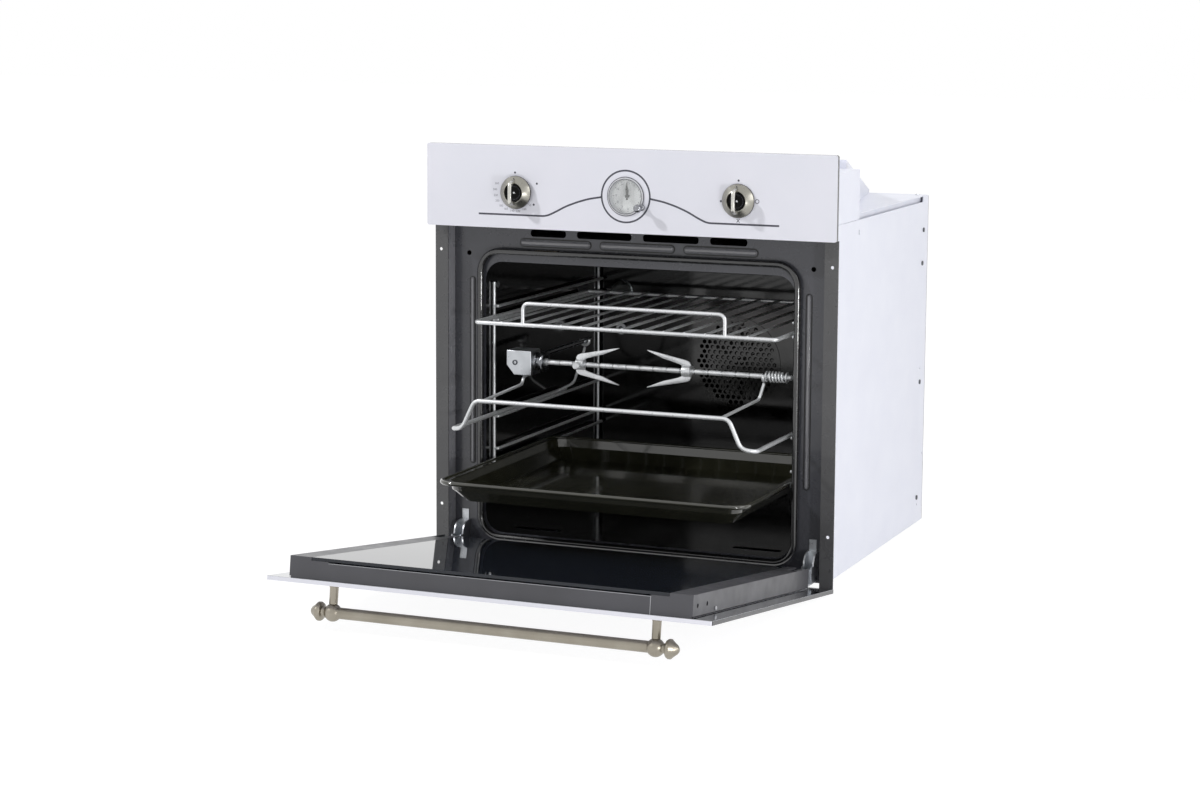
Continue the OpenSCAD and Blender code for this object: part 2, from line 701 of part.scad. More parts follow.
// Leaf-shaped hand on its arbor
module hand(y, length, width) {
  slab_y(y, y + 0.5) polygon([[-width / 4, -4], [width / 4, -4], [width / 2, length * 0.45],
    [0.2, length], [-0.2, length], [-width / 2, length * 0.45]]);
  rod_y(y, y + 0.5, 0, 0, 2.4);
}

module minute_hand() place() color("#3A3A24") translate([0, 0, knob_z]) {
  hand(3, 19, 3.4);
  rod_y(3, 18, 0, 0, minute_r);
}

module hour_hand() place() color("#3A3A24") translate([0, 0, knob_z]) difference() {
  union() {
    hand(5.5, 13, 4);
    rod_y(5.5, 16, 0, 0, hour_r);
  }
  rod_y(5, 17, 0, 0, minute_r + fit);
}

module clock_set_knob() place() color(chrome)
  translate([set_at[0], 0, knob_z + set_at[1]]) {
    rod_y(-20, 16, 0, 0, set_r);
    rod_y(-24, -15, 0, 0, 5.4);
    rod_y(-7, -2 - clear, 0, 0, 4.6);
  }

// Scroll of the cooling fan, open to the front
module cooling_fan_housing() place() color(steel) translate([0, fan_y, drum_z]) difference() {
  bore = drum_half + 4;
  box([-bore - 15, -36, seat - 30], [bore + 15, housing_d - 1 - seat - fan_y, 30]);
  rod_x(-bore, bore, 0, 0, drum_r + 3);
  box([-bore, -37, 1 - drum_r], [bore, -20, drum_r - 1]);
  rod_x(-bore - 10, bore + 10, 0, 0, 3 + fit);
}

module cooling_fan_drum() place() color(steel) translate([0, fan_y, drum_z]) {
  for (x = [-drum_half, -1, drum_half - 2]) rod_x(x, x + 2, 0, 0, drum_r);
  for (a = [0 : 30 : 359]) rotate([a, 0, 0])
    box([-drum_half, drum_r - 7, -0.5], [drum_half, drum_r - 1, 0.5]);
  rod_x(-drum_half - 12, drum_half + 12, 0, 0, 3);
}

module terminal_cover() place() color("#2B2B2D") translate([200, rear_y + sheet, inlet_at[1]])
  difference() {
    box([-40, seat, -10], [40, 22, 10]);
    rod_x(20, 41, 11, 0, 5);
  }

// Rotisserie

module rotisserie_motor() place() color(steel) difference() {
  union() {
    rod_y(cavity_y + sheet + seat, cavity_y + 16, drive_x, spit_z, 20);
    rod_y(cavity_y + 16, cavity_y + 50, drive_x, spit_z, 28);
  }
  rod_y(cavity_y, cavity_y + 40, drive_x, spit_z, 6 + fit);
}

module spit_drive_socket() place() color(chrome) difference() {
  union() {
    rod_y(cavity_y - 34, cavity_y - 1, drive_x, spit_z, 8.5);
    rod_y(cavity_y - 2, cavity_y + 36, drive_x, spit_z, 6);
  }
  rod_y(cavity_y - 35, cavity_y - 10, drive_x, spit_z, drive_r + 0.5);
}

// Wire bent into a loop open at the top, in which a round bar rests
module saddle(inner, r) {
  c = inner + r + 0.1;
  chain([[-c, 0, 1.5], [-c, 0, -c / 2], [-c / 2, 0, -c], [c / 2, 0, -c], [c, 0, -c / 2],
    [c, 0, 1.5]], r);
}

module spit_cradle() place() color(chrome) {
  y = cradle_y;
  top = cradle_z + 42;
  gear_z = spit_z - 18.5 - clear - carrier_r;
  rear = y + carrier_back;
  chain([[-runner_x, y + 400, cradle_z], [-runner_x, y + 6, cradle_z], [-201, y - 1, cradle_z + 3],
    [-183, y, top], [183, y, top], [201, y - 1, cradle_z + 3], [runner_x, y + 6, cradle_z],
    [runner_x, y + 400, cradle_z]], frame_wire);
  // Carrier of the spit's free end
  chain([[172, y, top], [175, spit_y, top + 4], [182, spit_y, spit_z - 9.5]], carrier_r);
  translate([182, spit_y, spit_z]) rotate([0, 0, 90]) saddle(spit_r + clear, 2.4);
  // Carrier of the gearbox
  chain([[-171, y, top], [-171, spit_y - 14, top + 5], [-171, spit_y - 8, gear_z],
    [-171, spit_y + 14, gear_z]], carrier_r);
  // Carrier of the drive shaft's rear end
  chain([[-runner_x, rear, cradle_z], [-194, rear, cradle_z + 14],
    [drive_x, rear, spit_z - 10.1]], carrier_r);
  translate([drive_x, rear, spit_z]) saddle(drive_r + clear, 2.4);
}

module spit_gearbox() place() color("#A9ABAE") translate([drive_x, spit_y, spit_z]) difference() {
  union() {
    slab_y(-16, 17) polygon([[-17.5, -5], [-6, -18.5], [20, -18.5], [20, 16], [-17.5, 16]]);
    rod_x(20, 36, 0, 0, 14);
  }
  slab_y(-14.5, 15.5) polygon([[-16, -4.4], [-5.3, -17], [18.5, -17], [18.5, 14.5], [-16, 14.5]]);
  rod_x(15, 37, 0, 0, spit_r + 1.5 + fit);
  rod_y(10, 20, 0, 0, drive_r + fit);
}

// Disc with pins on one face, about the z axis
module pin_wheel(offset) {
  cylinder(h = 3, r = 9.6);
  for (i = [0 : drive_pins - 1]) rotate(offset + 360 * i / drive_pins)
    translate([pin_circle, 0, -5]) cylinder(h = 5.5, r = pin_r);
}

module drive_shaft() place() color(chrome) translate([drive_x, spit_y, spit_z]) {
  translate([0, 11, 0]) rotate([-90, 0, 0]) pin_wheel(180 / drive_pins);
  rod_y(11, drive_len, 0, 0, drive_r);
}

module spit_rod() place() color(chrome) translate([0, spit_y, spit_z]) {
  translate([drive_x + 9.5, 0, 0]) rotate([0, 90, 0]) pin_wheel(0);
  rod_x(drive_x + 10, drive_x + 38, 0, 0, spit_r + 1.5);
  rod_x(drive_x + 37, 222, 0, 0, spit_r);
  for (x = [185, 214]) rod_x(x, x + 1.4, 0, 0, 7.6);
}

module spit_spring() place() color(chrome) translate([0, spit_y, spit_z]) polyhedron(spring_rings,
  concat([[5, 4, 3, 2, 1, 0]],
    [for (i = [0 : len(spring_line) - 2]) for (k = [0 : 5]) let (a = 6 * i, n = (k + 1) % 6)
      each [[a + k, a + n, a + 6 + n], [a + k, a + 6 + n, a + 6 + k]]],
    [[for (k = [0 : 5]) 6 * (len(spring_line) - 1) + k]]));

// Meat fork that slides on the rod: hub, two prongs and a thumbscrew
module fork(x, way) place() color(chrome) translate([x, spit_y, spit_z])
  rotate([0, 0, way > 0 ? 0 : 180]) {
    difference() {
      union() {
        rod_x(-6, 6, 0, 0, 8);
        for (s = [-1, 1]) slab_y(-1.5, 1.5)
          polygon([[-6, s * 6], [-4, s * 13], [6, s * 16], [57, s * 26], [58, s * 25], [20, s * 12],
            [6, s * 6]]);
      }
      rod_x(-7, 7, 0, 0, spit_r + fit);
      rod_y(-15, 0, 0, 0, 2 + fit);
    }
    rod_y(-16, -spit_r - 0.5, 0, 0, 2);
    rod_y(-19, -9, 0, 0, 5);
  }
module fork_left() fork(-88, 1);
module fork_right() fork(70, -1);

// Shelf and tray

module wire_shelf() place() color(chrome) {
  y0 = shelf_y;
  y1 = shelf_y + shelf_len;
  for (y = [y0, y1]) rod_x(-runner_x, runner_x, y, shelf_z, frame_wire);
  both() rod_y(y0, y1, runner_x, shelf_z, frame_wire * 0.98);
  for (x = [-runner_x, runner_x], y = [y0, y1]) translate([x, y, shelf_z]) sphere(frame_wire * 1.02);
  for (i = [-floor(205 / shelf_pitch) : floor(205 / shelf_pitch)])
    rod_y(y0, y1, i * shelf_pitch, shelf_z + 1.5, shelf_wire);
  wire([[-147.5, y0, shelf_z], [-147.5, y0, shelf_z + 30], [147.5, y0, shelf_z + 30],
    [147.5, y0, shelf_z]], frame_wire * 0.9, 10);
}

// One layer of the tray's pan, drawn in from the rim's edge
module tray_layer(inset, z) translate([0, tray_y + tray_len / 2, z]) linear_extrude(0.01)
  rounded(2 * (tray_half - inset), tray_len - 2 * inset, 26 - inset / 4, $fn = 32);

// Pan with steep walls down to a crease and a sloping foot, in a rolled rim
module baking_tray() place() color(enamel) {
  difference() {
    hull() {
      tray_layer(11, tray_z + 0.9);
      tray_layer(13.5, tray_z - tray_step);
      tray_layer(28, tray_z - tray_d);
    }
    hull() {
      tray_layer(12.4, tray_z + 1);
      tray_layer(14.9, tray_z - tray_step + 0.6);
      tray_layer(29.2, tray_z - tray_d + 1.4);
    }
  }
  translate([0, tray_y + tray_len / 2, tray_z - 0.7]) linear_extrude(1.6) difference() {
    rounded(2 * (tray_half - tray_edge_r), tray_len - 2 * tray_edge_r, 24);
    rounded(2 * (tray_half - 12.4), tray_len - 24.8, 22);
  }
  y0 = tray_y + tray_edge_r;
  y1 = tray_y + tray_len - tray_edge_r;
  x = tray_half - tray_edge_r;
  for (y = [y0, y1]) rod_x(24 - x, x - 24, y, tray_z, tray_edge_r);
  both() {
    rod_y(y0 + 24, y1 - 24, x, tray_z, tray_edge_r);
    translate([x - 24, y1 - 24, tray_z]) rotate_extrude(angle = 90) translate([24, 0])
      circle(tray_edge_r);
    translate([x - 24, y0 + 24, tray_z]) rotate([0, 0, -90]) rotate_extrude(angle = 90)
      translate([24, 0]) circle(tray_edge_r);
  }
}

// Hinges

// Cheeks with a quarter-round top that hook through the front frame
module hinge_arms() place() color(chrome) both() {
  difference() {
    slab_x(hinge_x - arm_w / 2, hinge_x + arm_w / 2) difference() {
      union() {
        translate([36, 0]) square([frame_y - 0.3 - 36, 57]);
        translate([12, 0]) square([30, 40]);
        intersection() {
          translate([37, 40]) circle(17);
          translate([0, 40]) square([40, 30]);
        }
      }
      translate([0, -1]) square([60, 18]);
    }
    box([hinge_x - arm_w / 2 + arm_wall, 0, 0], [hinge_x + arm_w / 2 - arm_wall, 38, 60]);
  }
  box([hinge_x - 6, frame_y - 0.4, 50], [hinge_x + 6, frame_back + 12, 57]);
  box([hinge_x - 6, frame_y - 1.4, 57], [hinge_x + 4, frame_y - 0.3, 72]);
}

module casing_screws() place() color(chrome) both() for (p = screw_pair)
  translate([body_x, p[0], p[1]]) rotate([0, 90, 0]) difference() {
    union() {
      cylinder(h = 1.4, r = 3.4);
      translate([0, 0, -6]) cylinder(h = 7, r = 1.6);
    }
    translate([-2.4, -0.4, 0.8]) cube([4.8, 0.8, 1]);
  }

// Door, drawn closed and then swung open about its axis

module swing() place() translate([0, door_axis[0], door_axis[1]]) rotate([door_open, 0, 0])
  translate([0, -door_axis[0], -door_axis[1]]) children();

module door_panel() swing() color(white)
  translate([0, 0, door_h / 2 - door_drop]) slab_y(0, panel_t) rounded(front_w, door_h, front_r);

// Side rails with a pocket for the hinges, a top rail below the glass and a bottom rail
module door_frame() swing() color(dark) {
  both() difference() {
    box([rail_in, panel_t + 0.1, box_foot], [box_x, box_back, box_top]);
    box([rail_in + 1.5, 0, box_foot - 1], [box_x - 1.5, box_back - 2, box_top - 2]);
    box([box_x - 2, 0, box_foot - 1], [box_x + 1, box_y, box_top + 1]);
    box([hinge_x - arm_w / 2 - 0.5, 0, box_foot - 1], [hinge_x + arm_w / 2 + 0.5, box_back + 1, 64]);
    for (z = [16, 49]) rod_x(box_x - 3, box_x + 1, box_y + 12, box_top - z, 2.9);
  }
  box([-rail_in - 0.1, panel_t + 0.1, box_top - 12.5], [rail_in + 0.1, box_back - glass_t - 2,
    box_top]);
  both() box([rail_in - 24, panel_t + 0.1, box_top - 12.5], [rail_in + 0.1,
    box_back - glass_t - seat, box_top]);
  box([-rail_in - 0.1, panel_t + 0.1, box_foot], [rail_in + 0.1, box_back - glass_t - seat,
    box_foot + 11.5]);
}

module inner_glass() swing() color("#20242C")
  box([-glass_x, box_back - glass_t, box_foot + 8.5], [glass_x, box_back, box_top - 1]);

module middle_glass() swing() color("#303640")
  box([seat - rail_in, 16, box_foot + 11.7], [rail_in - seat, 19.5, box_top - 12.7]);

// Lugs that run between the arms' cheeks, with the spring tube above
module hinge_channels() swing() color(steel) both() {
  difference() {
    box([hinge_x - lug_w / 2, box_y + 0.2, -2.5], [hinge_x + lug_w / 2, box_back - 2.2, 180]);
    box([hinge_x - lug_w / 2 + 1.5, box_y + 2, 66], [hinge_x + lug_w / 2 - 1.5, box_back, 178]);
    rod_x(hinge_x - 10, hinge_x + 10, 20, 8, 2);
    // Rounded foot, with the door's axis as its centre
    difference() {
      box([hinge_x - arm_w, 20, -3], [hinge_x + arm_w, box_back, door_axis[1]]);
      rod_x(hinge_x - arm_w - 1, hinge_x + arm_w + 1, door_axis[0], door_axis[1],
        box_back - 2.2 - door_axis[0]);
    }
  }
  rod_z(180, 330, hinge_x, 19, 4.5);
}

module handle_posts() swing() color(nickel) both() {
  rod_y(-handle_out + 10.6, -0.1, post_x, handle_z, 5.7);
  translate([post_x, -0.1, handle_z]) rotate([90, 0, 0]) cylinder(h = 4, r1 = 8.4, r2 = 5.8);
}

// Bar with a ball, a neck, a ring and a blunt cone at each end
module handle_bar() swing() color(nickel) translate([0, -handle_out, handle_z]) {
  rod_x(-post_x, post_x, 0, 0, handle_r);
  both() difference() {
    union() {
      translate([post_x, 0, 0]) sphere(ball_r);
      translate([post_x, 0, 0]) turned([[8, 6], [13.6, 6.8], [14.6, 10.6], [17, 12.2], [20, 12.2],
        [24, 8.6], [28, 5.6], [30, 3]]);
    }
    box([post_x - 12, 10.5, -12], [post_x + 12, 20, 12]);
  }
}

control_panel();
control_housing();
front_frame();
side_trims();
side_panel_left();
side_panel_right();
top_cover();
base_panel();
rear_panel();
rear_cover();
insulation();
cavity();
door_gasket();
fan_grille();
fan_motor();
lamp_holder();
lamp_lens();
grill_element();
side_rack_left();
side_rack_right();
rack_screws();
oven_burner();
igniter_and_probe();
gas_valve();
gas_pipes();
gas_inlet();
function_switch();
clock_case();
clock_dial();
clock_glass();
cooling_fan_housing();
terminal_cover();
rotisserie_motor();
hinge_arms();
casing_screws();
temperature_knob();
knob_thrust_ring();
function_knob();
minute_hand();
hour_hand();
clock_set_knob();
fan_wheel();
cooling_fan_drum();
spit_drive_socket();
spit_cradle();
spit_gearbox();
drive_shaft();
spit_rod();
spit_spring();
fork_left();
fork_right();
wire_shelf();
baking_tray();
door_panel();
door_frame();
inner_glass();
middle_glass();
hinge_channels();
handle_posts();
handle_bar();
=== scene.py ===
"""Dresses the built-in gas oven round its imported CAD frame.

Sizes are in millimetres in cabinet coordinates, as in the part's source: x across, y into the
cabinet from the control panel's front face, z up. at() turns them into metres in the row frame.
"""

import json
import logging
from dataclasses import dataclass
from enum import Enum
from math import atan2, cos, pi, radians, sin
from typing import Sequence

import bpy
from mathutils import Matrix, Vector

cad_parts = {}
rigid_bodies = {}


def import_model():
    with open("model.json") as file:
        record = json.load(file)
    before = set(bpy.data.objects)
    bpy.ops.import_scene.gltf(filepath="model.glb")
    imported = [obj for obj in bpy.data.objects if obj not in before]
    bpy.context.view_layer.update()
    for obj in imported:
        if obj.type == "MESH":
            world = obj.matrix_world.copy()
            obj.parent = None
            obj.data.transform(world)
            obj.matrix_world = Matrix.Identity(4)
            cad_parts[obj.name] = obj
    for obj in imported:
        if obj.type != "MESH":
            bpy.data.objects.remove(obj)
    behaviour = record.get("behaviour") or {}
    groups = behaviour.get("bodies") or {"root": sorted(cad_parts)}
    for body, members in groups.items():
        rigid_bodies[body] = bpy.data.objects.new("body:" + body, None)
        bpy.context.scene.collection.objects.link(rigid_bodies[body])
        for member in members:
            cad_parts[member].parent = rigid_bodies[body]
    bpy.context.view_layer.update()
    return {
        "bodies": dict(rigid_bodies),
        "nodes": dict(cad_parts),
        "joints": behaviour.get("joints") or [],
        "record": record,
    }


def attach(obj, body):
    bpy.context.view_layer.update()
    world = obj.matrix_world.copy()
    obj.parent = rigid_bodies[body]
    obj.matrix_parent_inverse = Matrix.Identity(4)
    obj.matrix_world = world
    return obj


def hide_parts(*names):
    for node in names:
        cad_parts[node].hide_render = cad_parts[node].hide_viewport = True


log = logging.getLogger("gas_oven")

Point = tuple[float, float, float]
Pair = tuple[float, float]
Tree = bpy.types.NodeTree
Socket = bpy.types.NodeSocket
Piece = bpy.types.Object
MM = 0.001
WELD = 1e-7
BEND_STEPS = 7
ORIGIN = Vector((0.0, 22.0, 263.0))

KNOB_X, KNOB_Z = 161.0, 529.8
SPIT_Y, SPIT_Z = 55.0, 288.5
RUNNER_X = 219.5
DOOR_OPEN = radians(82.3)
DOOR_AXIS = Vector((0.0, 1.0, 10.0))


class Slot(Enum):
    """The record's material slots."""

    PANEL = "panel_white"
    GREY = "dark_grey"
    ZINC = "zinc_steel"
    CHROME = "chrome"
    NICKEL = "satin_nickel"
    PALE = "pale_plastic"
    DIAL = "dial_white"
    HAND = "hand_dark"


class Along(Enum):
    """The cabinet axis that a turned piece's own axis points along."""

    X = "x"
    BACK = "y"
    UP = "z"

    def turn(self) -> Matrix:
        """The rotation that takes z to this axis."""
        if self is Along.X:
            return Matrix.Rotation(pi / 2, 4, "Y")
        if self is Along.BACK:
            return Matrix.Rotation(-pi / 2, 4, "X")
        return Matrix.Identity(4)


def at(x: float, y: float, z: float) -> Vector:
    """A point of the cabinet in millimetres as a row point in metres."""
    return (Vector((x, y, z)) - ORIGIN) * MM


def linear(colour: str) -> tuple[float, float, float, float]:
    """A colour such as #DFE0E9 as the linear values that a socket takes."""
    parts = [int(colour[i : i + 2], 16) / 255 for i in (1, 3, 5)]
    flat = [p / 12.92 if p <= 0.04045 else ((p + 0.055) / 1.055) ** 2.4 for p in parts]
    return (flat[0], flat[1], flat[2], 1.0)


# Finishes

NOISE_SPAN = (0.3, 0.7)


def put(node: bpy.types.Node, **values: object) -> None:
    """Sets values on a node's inputs, with _ for each space in a name."""
    for key, value in values.items():
        node.inputs[key.replace("_", " ")].default_value = value


def add_node(tree: Tree, kind: str, **values: object) -> bpy.types.Node:
    """A new shader node with those values on its inputs."""
    node = tree.nodes.new(f"ShaderNode{kind}")
    put(node, **values)
    return node


def calculate(tree: Tree, operation: str, first: Socket, second: Socket | float) -> Socket:
    """What a Math node makes of a socket and of a second socket or number."""
    node = add_node(tree, "Math")
    node.operation = operation
    tree.links.new(first, node.inputs[0])
    if isinstance(second, float):
        node.inputs[1].default_value = second
    else:
        tree.links.new(second, node.inputs[1])
    return node.outputs["Value"]


def seen_by(tree: Tree, *rays: str) -> Socket:
    """1 for a ray of one of those kinds and 0 for any other."""
    path = add_node(tree, "LightPath")
    value = path.outputs[rays[0]]
    for ray in rays[1:]:
        value = calculate(tree, "MAXIMUM", value, path.outputs[ray])
    return value


def mix_out(tree: Tree, fac: Socket, low: Socket, high: Socket, output: str) -> None:
    """Sends a mix of two shaders to the tree's output node."""
    mix = add_node(tree, "MixShader")
    for socket, place in zip((fac, low, high), mix.inputs):
        tree.links.new(socket, place)
    tree.links.new(mix.outputs["Shader"], tree.nodes[output].inputs["Surface"])


class Shader:
    """Writes the nodes of one material round its Principled shader."""

    def __init__(self, name: str) -> None:
        """Starts an empty material of that name."""
        self.material = bpy.data.materials.new(name)
        self.material.use_nodes = True
        self.tree = self.material.node_tree
        self.body = self.tree.nodes["Principled BSDF"]
        self.place = add_node(self.tree, "TexCoord").outputs["Object"]

    def link(self, start: Socket, end: Socket) -> None:
        """Links two sockets."""
        self.tree.links.new(start, end)

    def into(self, socket: Socket, name: str) -> None:
        """Links a socket to the shader's input of that name."""
        self.link(socket, self.body.inputs[name])

    def noise(self, scale: float, detail: float = 3.0, stretch: Point = (1.0, 1.0, 1.0)) -> Socket:
        """Noise on object coordinates.

        Args:
            scale: Waves a metre.
            detail: Octaves.
            stretch: Factors along x, y and z; a small one draws the grain out that way.

        Returns:
            The noise's value.
        """
        mapping = add_node(self.tree, "Mapping", Scale=stretch)
        noise = add_node(self.tree, "TexNoise", Scale=scale, Detail=detail)
        self.link(self.place, mapping.inputs["Vector"])
        self.link(mapping.outputs["Vector"], noise.inputs["Vector"])
        return noise.outputs["Fac"]

    def shades(self, fac: Socket, low: str, high: str) -> Socket:
        """A colour between two shades, led by fac over the noise's usual span."""
        ramp = add_node(self.tree, "ValToRGB")
        for stop, place, colour in zip(ramp.color_ramp.elements, NOISE_SPAN, (low, high)):
            stop.position, stop.color = place, linear(colour)
        self.link(fac, ramp.inputs["Fac"])
        return ramp.outputs["Color"]

    def between(self, fac: Socket, low: float, high: float) -> Socket:
        """A value between low and high, led by fac over the noise's usual span."""
        start, end = NOISE_SPAN
        ranged = add_node(self.tree, "MapRange", From_Min=start, From_Max=end, To_Min=low, To_Max=high)
        self.link(fac, ranged.inputs["Value"])
        return ranged.outputs["Result"]

    def split(self, colour: Socket, other: str, axis: str, level: float) -> Socket:
        """The colour up to a level along an object axis, and the other shade beyond it."""
        parts = add_node(self.tree, "SeparateXYZ")
        mix = add_node(self.tree, "Mix")
        mix.data_type = "RGBA"
        put(mix, B=linear(other))
        self.link(self.place, parts.inputs["Vector"])
        self.link(calculate(self.tree, "GREATER_THAN", parts.outputs[axis], level), mix.inputs["Factor"])
        self.link(colour, mix.inputs["A"])
        return mix.outputs["Result"]

    def bump(self, height: Socket, depth: float) -> None:
        """Bumps the surface by height, whose full range is depth metres."""
        bump = add_node(self.tree, "Bump", Strength=1.0, Distance=depth)
        self.link(height, bump.inputs["Height"])
        self.into(bump.outputs["Normal"], "Normal")


@dataclass(frozen=True)
class Finish:
    """A finish with a name, two close shades and a range of roughness."""

    name: str
    shade: str
    other: str
    rough: Pair

    def material(self) -> bpy.types.Material:
        """The finish's material, made on first use."""
        found = bpy.data.materials.get(self.name)
        return found if found else self.make(Shader(self.name))

    def make(self, shader: Shader) -> bpy.types.Material:
        """Writes the finish's nodes and returns its material."""
        raise NotImplementedError


@dataclass(frozen=True)
class Coat(Finish):
    """Paint, enamel, plastic, rubber or wool: a mottled shade over a fine relief."""

    grain: float = 700.0
    relief: float = 0.00002
    gloss: float = 0.0
    patch: float = 14.0
    mirror: float = 0.5

    def make(self, shader: Shader) -> bpy.types.Material:
        """Writes the coat's nodes and returns its material."""
        patches = shader.noise(self.patch)
        shader.into(shader.shades(patches, self.shade, self.other), "Base Color")
        shader.into(shader.between(shader.noise(self.patch * 3.0), *self.rough), "Roughness")
        shader.bump(shader.noise(self.grain, 2.0), self.relief)
        put(shader.body, Coat_Weight=self.gloss, Coat_Roughness=0.06, Specular_IOR_Level=self.mirror)
        return shader.material


@dataclass(frozen=True)
class FoldedCoat(Coat):
    """Paint on a sheet's face only: past a level along one axis the sheet has another shade, a second paint
    on the panels' folds and painted light on the trims' inner walls.
    """

    fold_shade: str = "#4A4A4E"
    fold_axis: str = "Y"
    fold_from: float = 0.0

    def make(self, shader: Shader) -> bpy.types.Material:
        """Writes the coat's nodes and returns its material."""
        super().make(shader)
        face = shader.shades(shader.noise(self.patch), self.shade, self.other)
        shader.into(shader.split(face, self.fold_shade, self.fold_axis, self.fold_from), "Base Color")
        return shader.material


@dataclass(frozen=True)
class Metal(Finish):
    """Bare or plated metal, drawn out in a grain along one way."""

    stretch: Point = (1.0, 1.0, 1.0)
    grain: float = 500.0
    relief: float = 0.000004
    bare: float = 1.0

    def make(self, shader: Shader) -> bpy.types.Material:
        """Writes the metal's nodes and returns its material."""
        grain = shader.noise(self.grain, 4.0, self.stretch)
        shader.into(shader.shades(shader.noise(30.0), self.shade, self.other), "Base Color")
        shader.into(shader.between(grain, *self.rough), "Roughness")
        shader.bump(grain, self.relief)
        put(shader.body, Metallic=self.bare)
        return shader.material


@dataclass(frozen=True)
class Glazing(Finish):
    """Glass, from clear to dark and mirror-like."""

    clear: float = 1.0
    ior: float = 1.5
    cover: float = 1.0

    def make(self, shader: Shader) -> bpy.types.Material:
        """Writes the glass's nodes and returns its material."""
        shader.into(shader.shades(shader.noise(6.0), self.shade, self.other), "Base Color")
        shader.into(shader.between(shader.noise(40.0), *self.rough), "Roughness")
        put(shader.body, Transmission_Weight=self.clear, IOR=self.ior, Alpha=self.cover)
        return shader.material


FACE_WHITE = FoldedCoat("panel_face_paint", "#DDDEE7", "#E0E0E9", (0.30, 0.38), gloss=0.3,
                        fold_shade="#37373C", fold_from=-0.0203)
DOOR_WHITE = FoldedCoat("door_face_paint", "#DDDEE7", "#E0E0E9", (0.30, 0.38), gloss=0.3,
                        fold_shade="#29292D", fold_axis="X", fold_from=0.2968)
# Trim paint: past y 0.0003 m the trims' inner walls turn a lighter grey, which is painted light standing for
# the side light on them.
TRIM_GREY_LIT_WALL = FoldedCoat("trim_paint_with_painted_lit_wall", "#434345", "#4A4A4B", (0.24, 0.34), gloss=0.3, fold_shade="#8A8A8F",
                       fold_from=0.0003)
CASING_WHITE = Coat("casing_paint", "#E1E3EE", "#E5E7F1", (0.38, 0.48))
DARK_GREY = Coat("frame_paint", "#3C3D43", "#424349", (0.24, 0.34), gloss=0.35)
# The beads' paint is the frame's paint drawn lighter grey, which is a painted highlight.
BEAD_SHEEN_GREY = Coat("bead_paint_with_painted_highlight", "#66666A", "#6E6E72", (0.16, 0.24), gloss=1.0)
# Painted shadow: the black of the outlines laid round the frame's beads.
BEAD_SHADOW_BLACK = Coat("bead_shadow_paint", "#0B0B0C", "#111112", (0.4, 0.5))
DOOR_GREY = Coat("door_frame_paint", "#404044", "#48484D", (0.34, 0.46), gloss=0.1)
BLACK_ENAMEL = Coat("liner_enamel", "#020202", "#040405", (0.08, 0.16), grain=260.0, gloss=0.32)
TRAY_ENAMEL = Coat("tray_enamel", "#212117", "#2D2D22", (0.10, 0.2), grain=260.0, gloss=1.0)
GASKET = Coat("gasket_cord", "#0D0D0F", "#141416", (0.2, 0.3), grain=900.0, gloss=1.0)
FLEECE = Coat("dark_fleece", "#1C1B1A", "#272523", (0.9, 1.0), grain=320.0, relief=0.003)
PORCELAIN = Coat("porcelain_glaze", "#DAD6C9", "#E3DFD3", (0.2, 0.35), gloss=0.3)
PALE_PLASTIC = Coat("pale_moulding", "#D4D1C6", "#DBD8CF", (0.4, 0.55))
BLACK_PLASTIC = Coat("black_moulding", "#262628", "#303032", (0.4, 0.6))
DIAL_PAPER = Coat("dial_card", "#EAECEC", "#F1F2F1", (0.6, 0.75))
CASE_GREY = Coat("clock_case_paint", "#BFC0C4", "#CACBCE", (0.3, 0.4), gloss=0.3)
# Printed ink, also used for the clock's two dark rings, which are painted shade.
INK = Coat("printed_ink_and_painted_shade", "#3C3C48", "#484852", (0.4, 0.55), patch=200.0)
FAINT_INK = Coat("faint_ink", "#6E6E78", "#84848E", (0.4, 0.55), patch=200.0)
HAND_PAINT = Coat("hand_paint", "#1C1C10", "#262618", (0.35, 0.5), patch=60.0)
DISH_BLACK = Coat("knob_dish_enamel", "#020202", "#050505", (0.3, 0.4), mirror=0.12)
# Also used for the door rail's pale strips, which are painted highlights.
STUD_GREY_AND_HIGHLIGHT = Coat("door_stud", "#9B9CA0", "#A9AAAE", (0.3, 0.4), gloss=0.2)
ZINC = Metal("zinc_plate", "#B3B6BA", "#C6C9CD", (0.26, 0.42), grain=160.0)
DULL_ZINC = Metal("dull_zinc_plate", "#54565A", "#606267", (0.4, 0.5), grain=160.0)
CHROME = Metal("chrome_plate", "#C3C6C9", "#D1D3D6", (0.07, 0.15))
WIRE_CHROME = Metal("wire_chrome", "#D2D4D6", "#DEE0E2", (0.26, 0.34), bare=0.55)
NECK_STEEL = Metal("neck_steel", "#75777B", "#84868A", (0.2, 0.3))
MIRROR_STEEL = Metal("polished_backing", "#B6B8BB", "#C2C4C7", (0.04, 0.09))
NICKEL = Metal("satin_nickel_plate", "#938D81", "#A39D91", (0.28, 0.36), (1.0, 1.0, 0.1))
KNOB_NICKEL = Metal("knob_nickel", "#95938B", "#A19F97", (0.26, 0.34), grain=220.0, relief=0.000001)
# The grip is the knob's own nickel drawn lighter, which is a painted highlight.
GRIP_SHEEN_NICKEL = Metal("grip_nickel_painted_highlight", "#C4C3BC", "#CFCEC8", (0.24, 0.32), grain=220.0, relief=0.000001)
SETTER_STEEL = Metal("setter_steel", "#85868A", "#94959A", (0.12, 0.2))
